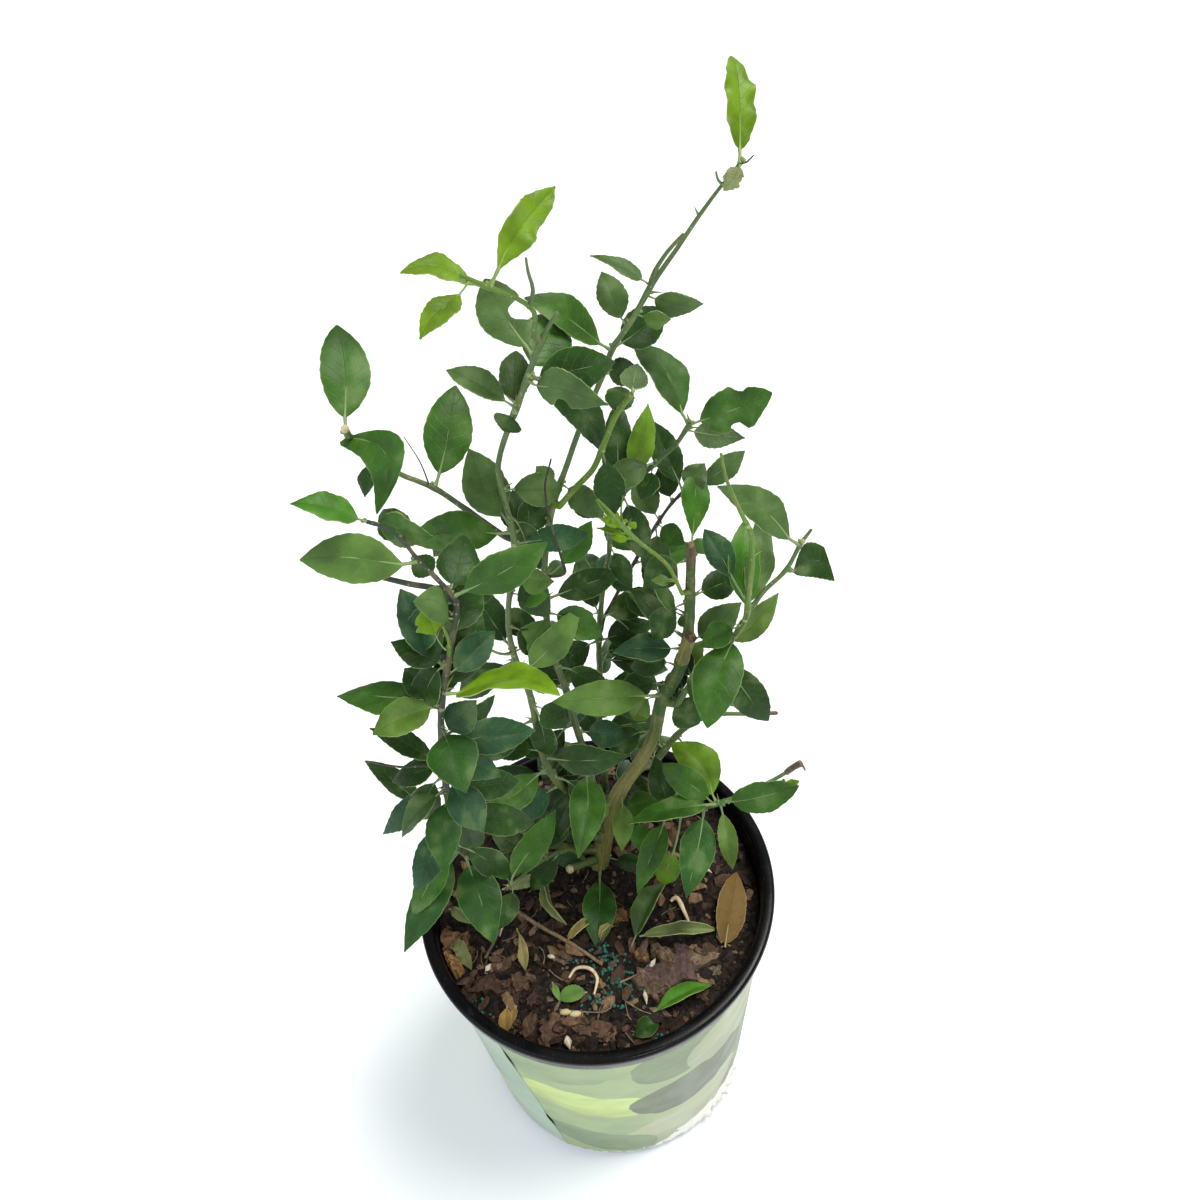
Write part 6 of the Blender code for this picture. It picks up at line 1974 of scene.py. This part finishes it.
FALLEN = (
    Fallen((653, 1014), (712, 984), 13, 6, -28, Tone.BRIGHT, replace(OVAL, fold=30, petiole=0.05), 1.5, 3.0),
    Fallen((660, 1022), (634, 1036), 12, 3, 10, Tone.DARK, replace(OVAL, petiole=0.05)),
    Fallen((588, 996), (558, 1000), 9, 3, -10, Tone.LIGHT, replace(ROUND, fold=20, petiole=0.05)),
    Fallen((455, 942), (472, 972), 8, 8, 20, Tone.DEAD, WAVY, 5, 2),
    Fallen((640, 941), (716, 933), 11, 4, 20, Tone.WILTED, replace(ROLLED, wave=0.3, ragged=0.15), 2, 4),
    Fallen((632, 950), (664, 890), 18, 7, -25, Tone.GREY, FOLDED, 2, 10),
    Fallen((518, 932), (525, 973), 10, 6, 50, Tone.STRAW, replace(POINTED, skew=1.9, petiole=0.1, bow=-0.1), 2, 2, True),
    Fallen((508, 1006), (504, 1036), 8.5, 3, 10, Tone.TAN, replace(ROUND, fold=30, petiole=0.14, skew=1.3), 1.5, 1.5, True),
    Fallen((517, 1008), (512, 1026), 4, 2, 0, Tone.TAN, POINTED, 1.5, 1.5, True),
    Fallen((548, 880), (566, 930), 9, 6, 40, Tone.WILTED, replace(ROLLED, bow=0.12), 4, 3),
    Fallen((568, 944), (592, 925), 7, 4, 20, Tone.STRAW, ROLLED, 2, 3, True),
    Fallen((600, 945), (614, 930), 6, 3, -20, Tone.STRAW, ROLLED, 2, 3, True),
    Fallen((506, 893), (552, 886), 8, 5, 20, Tone.WILTED, replace(WAVY, petiole=0.05), 3, 4),
    Fallen((553, 985), (560, 1003), 4, 2, 0, Tone.LIGHT, POINTED),
    Fallen((450, 912), (471, 928), 7, 5, 30, Tone.WILTED, FOLDED, 4, 4),
)


@dataclass(frozen=True)
class Bark:
    """A piece of bark on the compost: its centre as a sight point, its sizes in mm, its turn and its colour."""

    centre: Point
    length: float
    width: float
    height: float
    turn: float
    colour: Colour
    node: str | None = None


PLATES = (
    Bark((676, 972), 36, 22, 3.0, 10, srgb(104, 82, 74), "bark_plate"),
    Bark((457, 944), 21, 15, 7.0, -10, srgb(138, 104, 76), "bark_chunk"),
    Bark((447, 966), 15, 10, 9.0, -18, srgb(186, 146, 96)),
    Bark((620, 920), 13, 9, 4.0, 20, srgb(150, 112, 74)),
    Bark((642, 958), 10, 9, 3.5, 40, srgb(146, 108, 72)),
    Bark((504, 988), 28, 10, 3.5, -8, srgb(84, 60, 50)),
    Bark((552, 1030), 18, 13, 3.5, 30, srgb(98, 74, 58)),
    Bark((592, 1030), 22, 13, 3.5, -4, srgb(102, 76, 60)),
    Bark((610, 1034), 11, 8, 3.0, 50, srgb(122, 92, 68)),
    Bark((683, 952), 16, 11, 3.0, -22, srgb(108, 84, 78)),
    Bark((712, 972), 12, 7, 2.5, 12, srgb(126, 112, 88)),
    Bark((466, 1000), 12, 8, 3.0, 35, srgb(86, 64, 52)),
    Bark((532, 1000), 10, 7, 3.0, 70, srgb(80, 58, 48)),
    Bark((555, 928), 15, 9, 4.0, 15, srgb(78, 56, 46)),
    Bark((494, 968), 9, 6, 3.0, 10, srgb(142, 116, 100)),
    Bark((646, 1040), 14, 8, 3.0, 20, srgb(80, 60, 50)),
    Bark((700, 925), 14, 9, 3.0, -30, srgb(70, 50, 42)),
    Bark((652, 986), 22, 13, 4.0, -30, srgb(112, 92, 72)),
    Bark((702, 960), 20, 9, 4.0, 5, srgb(126, 106, 82)),
    Bark((664, 958), 15, 8, 5.0, -50, srgb(132, 108, 84)),
    Bark((530, 1024), 16, 9, 4.0, 60, srgb(92, 70, 52)),
    Bark((574, 1022), 15, 8, 4.0, 10, srgb(120, 92, 68)),
    Bark((484, 985), 18, 9, 4.0, 30, srgb(80, 60, 46)),
    Bark((520, 985), 15, 9, 4.0, -40, srgb(96, 74, 56)),
)
SHARDS = (
    ((567, 1037), (570, 1050), 2.2), ((645, 990), (647, 1007), 1.5), ((647, 998), (650, 990), 1.0),
    ((500, 938), (508, 914), 1.2), ((486, 974), (492, 966), 1.8), ((549, 958), (556, 962), 1.3),
    ((650, 970), (656, 962), 1.6), ((700, 868), (712, 876), 1.3),
)
CURLS = (
    (((570, 982), (577, 973), (590, 973), (598, 982), (595, 999)), 0.85),
    (((671, 905), (676, 902), (681, 908), (689, 926)), 1.15),
    (((503, 893), (520, 886), (538, 889), (551, 885)), 0.7),
)
STICKS = (
    (((513, 910), (540, 930), (575, 950), (603, 968)), 1.25, srgb(142, 120, 90)),
    (((506, 914), (498, 938), (486, 960)), 1.0, srgb(120, 112, 92)),
    (((620, 985), (640, 975), (655, 962)), 0.6, srgb(150, 126, 92)),
    (((625, 1003), (640, 1012), (652, 1016)), 0.3, srgb(150, 140, 116)),
    (((560, 1012), (600, 1014), (612, 1010)), 0.4, srgb(140, 124, 98)),
)


class Litter:
    """What lies on the compost: bark, twigs, fallen leaves, husks and feed pellets."""

    def __init__(self, soil: Soil, finishes: Finishes) -> None:
        """Keeps the compost that it lies on."""
        self.soil = soil
        self.finishes = finishes

    def on_soil(self, point: Point, lift: float = 0.0) -> Vector:
        """The place on the compost at a sight point, lifted by some millimetres and kept inside the wall."""
        place = PICTURE.on_level(point, SOIL_LEVEL)
        room = self.soil.edge - 1.5 * MM
        radius = math.hypot(place.x, place.y)
        if radius > room:
            place *= room / radius
        return Vector((place.x, place.y, self.soil.height(place.x, place.y) + lift * MM))

    def slab(self, piece: Piece, plan: Bark, seed: int) -> None:
        """Adds an irregular flake of bark with broken, layered sides."""
        chance = random.Random(seed)
        centre = self.on_soil(plan.centre)
        turn = Matrix.Rotation(math.radians(plan.turn), 3, "Z")
        tilt = Matrix.Rotation(math.radians(chance.uniform(-12, 12)), 3, (1, 0.4, 0))
        corners = bmesh.ops.create_circle(piece.mesh, cap_ends=True, segments=17, radius=1.0)["verts"]
        for vert in corners:
            jag = chance.uniform(0.62, 1.12)
            vert.co = Vector((vert.co.x * jag * plan.length / 2, vert.co.y * jag * plan.width / 2, 0)) * MM
        base = list({face for vert in corners for face in vert.link_faces})
        lifted = bmesh.ops.extrude_face_region(piece.mesh, geom=base)["geom"]
        raised = [item for item in lifted if isinstance(item, bmesh.types.BMVert)]
        for vert in raised:
            vert.co = Vector((vert.co.x * 0.9, vert.co.y * 0.88, plan.height * MM * chance.uniform(0.75, 1.1)))
        top = [item for item in lifted if isinstance(item, bmesh.types.BMFace)]
        for share in (0.16, 0.2):
            ring = bmesh.ops.inset_region(piece.mesh, faces=top, thickness=plan.width * MM * share)["faces"]
            raised += [vert for face in ring for vert in face.verts]
        bmesh.ops.poke(piece.mesh, faces=top)
        verts = set(corners) | set(raised) | {vert for face in ring for vert in face.verts}
        faces = {face for vert in verts if vert.is_valid for face in vert.link_faces}
        verts = {vert for face in faces for vert in face.verts}
        for vert in verts:
            rough = noise.noise(vert.co * 420 + Vector((seed, 0, 0))) * 0.5 * MM
            vert.co = centre + turn @ (tilt @ (vert.co + Vector((0, 0, rough)))) - Vector((0, 0, 0.8 * MM))
            spare = max(1.0, math.hypot(vert.co.x, vert.co.y) / (self.soil.edge - GAP))
            vert.co = Vector((vert.co.x / spare, vert.co.y / spare, vert.co.z))
        bmesh.ops.recalc_face_normals(piece.mesh, faces=list(faces))
        for vert in verts:
            shade = 0.85 + 0.5 * noise.noise(vert.co * 300 + Vector((seed, 0, 0)))
            piece.paint((vert,), tuple(value * shade for value in plan.colour))

    def build_bark(self) -> None:
        """Builds the larger bark flakes."""
        rest = Piece("bark_flakes", self.finishes.litter)
        chance = random.Random(31)
        for index, plan in enumerate(PLATES):
            piece = Piece(f"{plan.node}_flake", self.finishes.litter) if plan.node else rest
            self.slab(piece, plan, 40 + index)
            if plan.node:
                piece.finish(plan.node, slot="bark")
            for layer in range(3):
                share, shade = chance.uniform(0.32, 0.6), chance.uniform(0.55, 1.3)
                spot = (plan.centre[0] + chance.uniform(-0.9, 0.9) * plan.length,
                        plan.centre[1] + chance.uniform(-0.7, 0.7) * plan.width)
                colour = tuple(value * shade for value in plan.colour)
                shard = Bark(spot, plan.length * share, plan.width * share, plan.height * chance.uniform(0.7, 1.3),
                             chance.uniform(-90, 90), colour)
                self.slab(rest, shard, 90 + 3 * index + layer)
        rest.finish(slot="bark")

    def build_chips(self, count: int = 1150) -> None:
        """Builds the small bark chips and crumbs, scattered over the compost."""
        chance = random.Random(3)
        piece = Piece("bark_chips", self.finishes.litter)
        browns = (srgb(76, 58, 42), srgb(54, 40, 30), srgb(104, 80, 60), srgb(34, 25, 20), srgb(134, 106, 76),
                  srgb(44, 32, 26), srgb(90, 68, 50), srgb(26, 20, 16), srgb(118, 96, 78))
        for _ in range(count):
            radius = math.sqrt(chance.random()) * (self.soil.edge - 4 * MM)
            angle = chance.uniform(0, math.tau)
            x, y = radius * math.cos(angle), radius * math.sin(angle)
            big = chance.random() ** 2.6
            size = Vector((0.8 + 5.6 * big, 0.7 + 3.6 * big * chance.uniform(0.4, 1), 0.5 + 0.7 * big)) * MM
            turn = Matrix.Rotation(chance.uniform(0, math.tau), 3, "Z") @ Matrix.Rotation(
                chance.uniform(-0.6, 0.6), 3, "X") @ Matrix.Rotation(chance.uniform(-0.45, 0.45), 3, "Y")
            centre = Vector((x, y, self.soil.height(x, y) + (0.3 + 0.9 * big) * size.z))
            piece.blob(centre, size, chance.choice(browns), detail=1, turn=turn, rough=0.8)
        piece.finish(slot="bark")

    def build_sticks(self, strands: int = 130) -> None:
        """Builds the twigs, shards, curls and loose fibres."""
        chance = random.Random(8)
        piece = Piece("twigs_and_fibres", self.finishes.litter)
        for points, radius, colour in STICKS:
            places = [self.on_soil(point, 1.5 + radius) for point in points]
            radii = [radius * MM * (1 - 0.1 * index) for index in range(len(places))]
            piece.tube(Route.smooth(places, radii, 2.5 * MM), 8, colour, lump=0.25)
        for _ in range(strands):
            radius, angle = math.sqrt(chance.random()) * 82 * MM, chance.uniform(0, math.tau)
            x, y = radius * math.cos(angle), radius * math.sin(angle)
            heading, length = chance.uniform(0, math.tau), chance.uniform(5, 18) * MM
            bend = chance.uniform(-0.8, 0.8)
            places = []
            for step in range(4):
                way = heading + bend * step / 3
                at = (x + math.cos(way) * length * step / 3, y + math.sin(way) * length * step / 3)
                spare = math.hypot(*at) / (self.soil.edge - 2 * MM)
                at = (at[0] / max(1, spare), at[1] / max(1, spare))
                places.append(Vector((*at, self.soil.height(*at) + chance.uniform(0.2, 1.2) * MM)))
            if min((b - a).length for a, b in zip(places, places[1:])) < 0.5 * MM:
                continue
            colour = chance.choice((srgb(110, 92, 70), srgb(70, 52, 42), srgb(134, 118, 92), srgb(50, 38, 32)))
            piece.tube(Route(places, [chance.uniform(0.18, 0.42) * MM] * 4), 5, colour)
        piece.finish(slot="bark")
        husks = Piece("pale_husks", self.finishes.dry_leaf)
        cream = srgb(226, 206, 170)
        for points, radius in CURLS:
            places = [self.on_soil(point, 2.0 + radius) for point in points]
            radii = [radius * MM * (0.45 + 0.75 * math.sin(math.pi * (0.1 + 0.8 * index / (len(points) - 1))))
                     for index in range(len(points))]
            husks.tube(Route.smooth(places, radii, 1.5 * MM), 9, cream, lump=0.2)
        for foot, tip, half in SHARDS:
            ends = [self.on_soil(foot, 1.2), self.on_soil(tip, 3.0)]
            middle = ends[0].lerp(ends[1], 0.5) + Vector((0, 0, 0.8 * MM))
            husks.tube(Route([ends[0], middle, ends[1]], [half * 0.5 * MM, half * MM, 0.15 * MM]), 5,
                       srgb(224, 214, 190), lump=0.4)
        for place in ((566, 1014), (576, 1016)):
            husks.blob(self.on_soil(place, 1.6), Vector((3.2, 1.7, 1.4)) * MM, srgb(214, 208, 168), detail=2)
        husks.finish(slot="bark")

    def build_pellets(self) -> None:
        """Builds the clusters of feed pellets."""
        chance = random.Random(17)
        piece = Piece("feed_pellets", self.finishes.prill)
        clusters = (((616, 978), 15.0, 96), ((605, 955), 7.0, 20), ((570, 960), 5.0, 12), ((590, 1000), 8.0, 14),
                    ((640, 1004), 8.0, 10), ((478, 1008), 7.0, 12), ((655, 1030), 6.0, 7))
        teals = (srgb(22, 92, 78), srgb(30, 108, 92), srgb(16, 68, 60), srgb(40, 96, 78), srgb(32, 62, 52))
        for centre, spread, count in clusters:
            middle = self.on_soil(centre)
            for _ in range(count):
                x = middle.x + chance.gauss(0, spread * 0.45) * MM
                y = middle.y + chance.gauss(0, spread * 0.6) * MM
                spare = max(1.0, math.hypot(x, y) / (self.soil.edge - 2 * MM))
                x, y = x / spare, y / spare
                radius = chance.uniform(0.7, 1.15) * MM
                place = Vector((x, y, self.soil.height(x, y) + radius * chance.uniform(0.4, 1.1)))
                piece.blob(place, Vector((radius, radius, radius * 0.94)), chance.choice(teals), detail=2)
        piece.finish(slot="bark")

    def build_leaves(self) -> None:
        """Builds the fallen leaves, green and dry."""
        green = Piece("fallen_green_leaves", *self.finishes.living)
        dry = Piece("fallen_dry_leaves", self.finishes.dry_leaf, self.finishes.dry_leaf, self.finishes.leaf_edge,
                    self.finishes.rib)
        for index, plan in enumerate(FALLEN):
            midrib = Midrib.laid(self.on_soil(plan.foot, plan.lift), self.on_soil(plan.tip, plan.tip_lift),
                                 plan.rise * MM, plan.turn)
            leaf = LeafPlan("", plan.foot, plan.tip, plan.width, 0, 0, plan.tone, plan.form)
            Blade(leaf, midrib, 400 + 2.3 * index, (10, 18), 0.4 * MM).build(dry if plan.dry else green)
        green.finish(slot="leaf")
        dry.finish(slot="leaf")
        leaning = Piece("leaning_dry_leaf", self.finishes.dry_leaf, self.finishes.dry_leaf, self.finishes.leaf_edge,
                        self.finishes.rib)
        foot, tip = self.on_soil((725, 948), 1.5), self.on_soil((737, 878), 7.0)
        leaf = LeafPlan("", (0, 0), (0, 0), 18, 0, 0, Tone.BROWN, replace(ROUND, skew=0.8, fold=20, petiole=0.04, wave=0.08))
        Blade(leaf, Midrib.laid(foot, tip, 4 * MM, 20), 444.0, rib_radius=0.5 * MM).build(leaning)
        leaning.finish("dry_leaf", slot="leaf")


@dataclass
class Studio:
    """The floor, the lights and the camera."""

    floor_size: float = 14.0
    floor_colour: Colour = srgb(246, 247, 249)
    glow_colour: Colour = srgb(232, 246, 255)

    def build(self) -> None:
        """Builds the floor, the lights and the camera."""
        self.build_floor()
        self.build_lights()
        self.build_camera()
        bpy.context.scene.view_settings.view_transform = "Standard"

    def build_floor(self) -> None:
        """Builds the plain pale floor."""
        made = bmesh.new()
        bmesh.ops.create_grid(made, x_segments=1, y_segments=1, size=self.floor_size / 2)
        data = bpy.data.meshes.new("floor")
        made.to_mesh(data)
        made.free()
        floor = bpy.data.objects.new("floor", data)
        finish = bpy.data.materials.new("floor_paint")
        finish.use_nodes = True
        shader = finish.node_tree.nodes["Principled BSDF"]
        shader.inputs["Base Color"].default_value = (*self.floor_colour, 1)
        shader.inputs["Roughness"].default_value = 0.85
        shader.inputs["Emission Color"].default_value = (*self.glow_colour, 1)
        shader.inputs["Emission Strength"].default_value = 0.16
        data.materials.append(finish)
        bpy.context.scene.collection.objects.link(floor)

    def build_lights(self) -> None:
        """Adds the soft key, fill and sky light."""
        sun = bpy.data.lights.new("key", "SUN")
        sun.energy = 2.95
        sun.angle = math.radians(30)
        sun.color = srgb(255, 252, 246)
        key = bpy.data.objects.new("key", sun)
        key.rotation_euler = (math.radians(-8), math.radians(24), 0)
        bpy.context.scene.collection.objects.link(key)
        self.area("fill", Vector((-1.3, -1.0, 1.5)), 1.6, 13.0, srgb(226, 238, 255))
        self.area("front", Vector((0.5, -1.6, 1.7)), 0.5, 9.0, srgb(255, 255, 255))
        world = bpy.data.worlds.new("sky")
        world.use_nodes = True
        wire = Wiring(world.node_tree)
        seen = wire.node("ShaderNodeLightPath").outputs["Is Camera Ray"]
        sky = world.node_tree.nodes["Background"]
        sky.inputs["Color"].default_value = (0.97, 0.98, 1.0, 1)
        wire.feed(sky.inputs["Strength"], wire.math("MULTIPLY_ADD", seen, 0.55, 0.37))
        bpy.context.scene.world = world

    @staticmethod
    def area(name: str, place: Vector, size: float, power: float, colour: Colour) -> None:
        """Adds a square area light that faces the plant."""
        data = bpy.data.lights.new(name, "AREA")
        data.size = size
        data.energy = power
        data.color = colour
        light = bpy.data.objects.new(name, data)
        aim = Vector((0, 0, 0.25)) - place
        light.matrix_world = Matrix.Translation(place) @ aim.to_track_quat("-Z", "Y").to_matrix().to_4x4()
        bpy.context.scene.collection.objects.link(light)

    @staticmethod
    def build_camera() -> None:
        """Adds the camera, which sees what the sight picture shows."""
        data = bpy.data.cameras.new("camera")
        data.sensor_width = SENSOR_WIDTH
        data.lens = SENSOR_WIDTH * FOCAL_LENGTH / (2 * PICTURE_CENTRE)
        camera = bpy.data.objects.new("camera", data)
        turn = Matrix((PICTURE.across, -PICTURE.below, -PICTURE.forward)).transposed()
        camera.matrix_world = Matrix.Translation(EYE) @ turn.to_4x4()
        bpy.context.scene.collection.objects.link(camera)
        bpy.context.scene.camera = camera


def main() -> None:
    """Builds the plant, its pot and the studio."""
    finishes = Finishes()
    stems = Stems()
    foliage = Foliage(stems, finishes)
    stems.build(finishes, foliage.plans)
    foliage.build()
    Pot().build(finishes)
    Sleeve().build(finishes)
    soil = Soil()
    soil.build(finishes)
    litter = Litter(soil, finishes)
    litter.build_bark()
    litter.build_chips()
    litter.build_sticks()
    litter.build_pellets()
    litter.build_leaves()
    Studio().build()


if __name__ == "__main__":
    logging.basicConfig(level=logging.INFO, format="%(message)s")
    main()
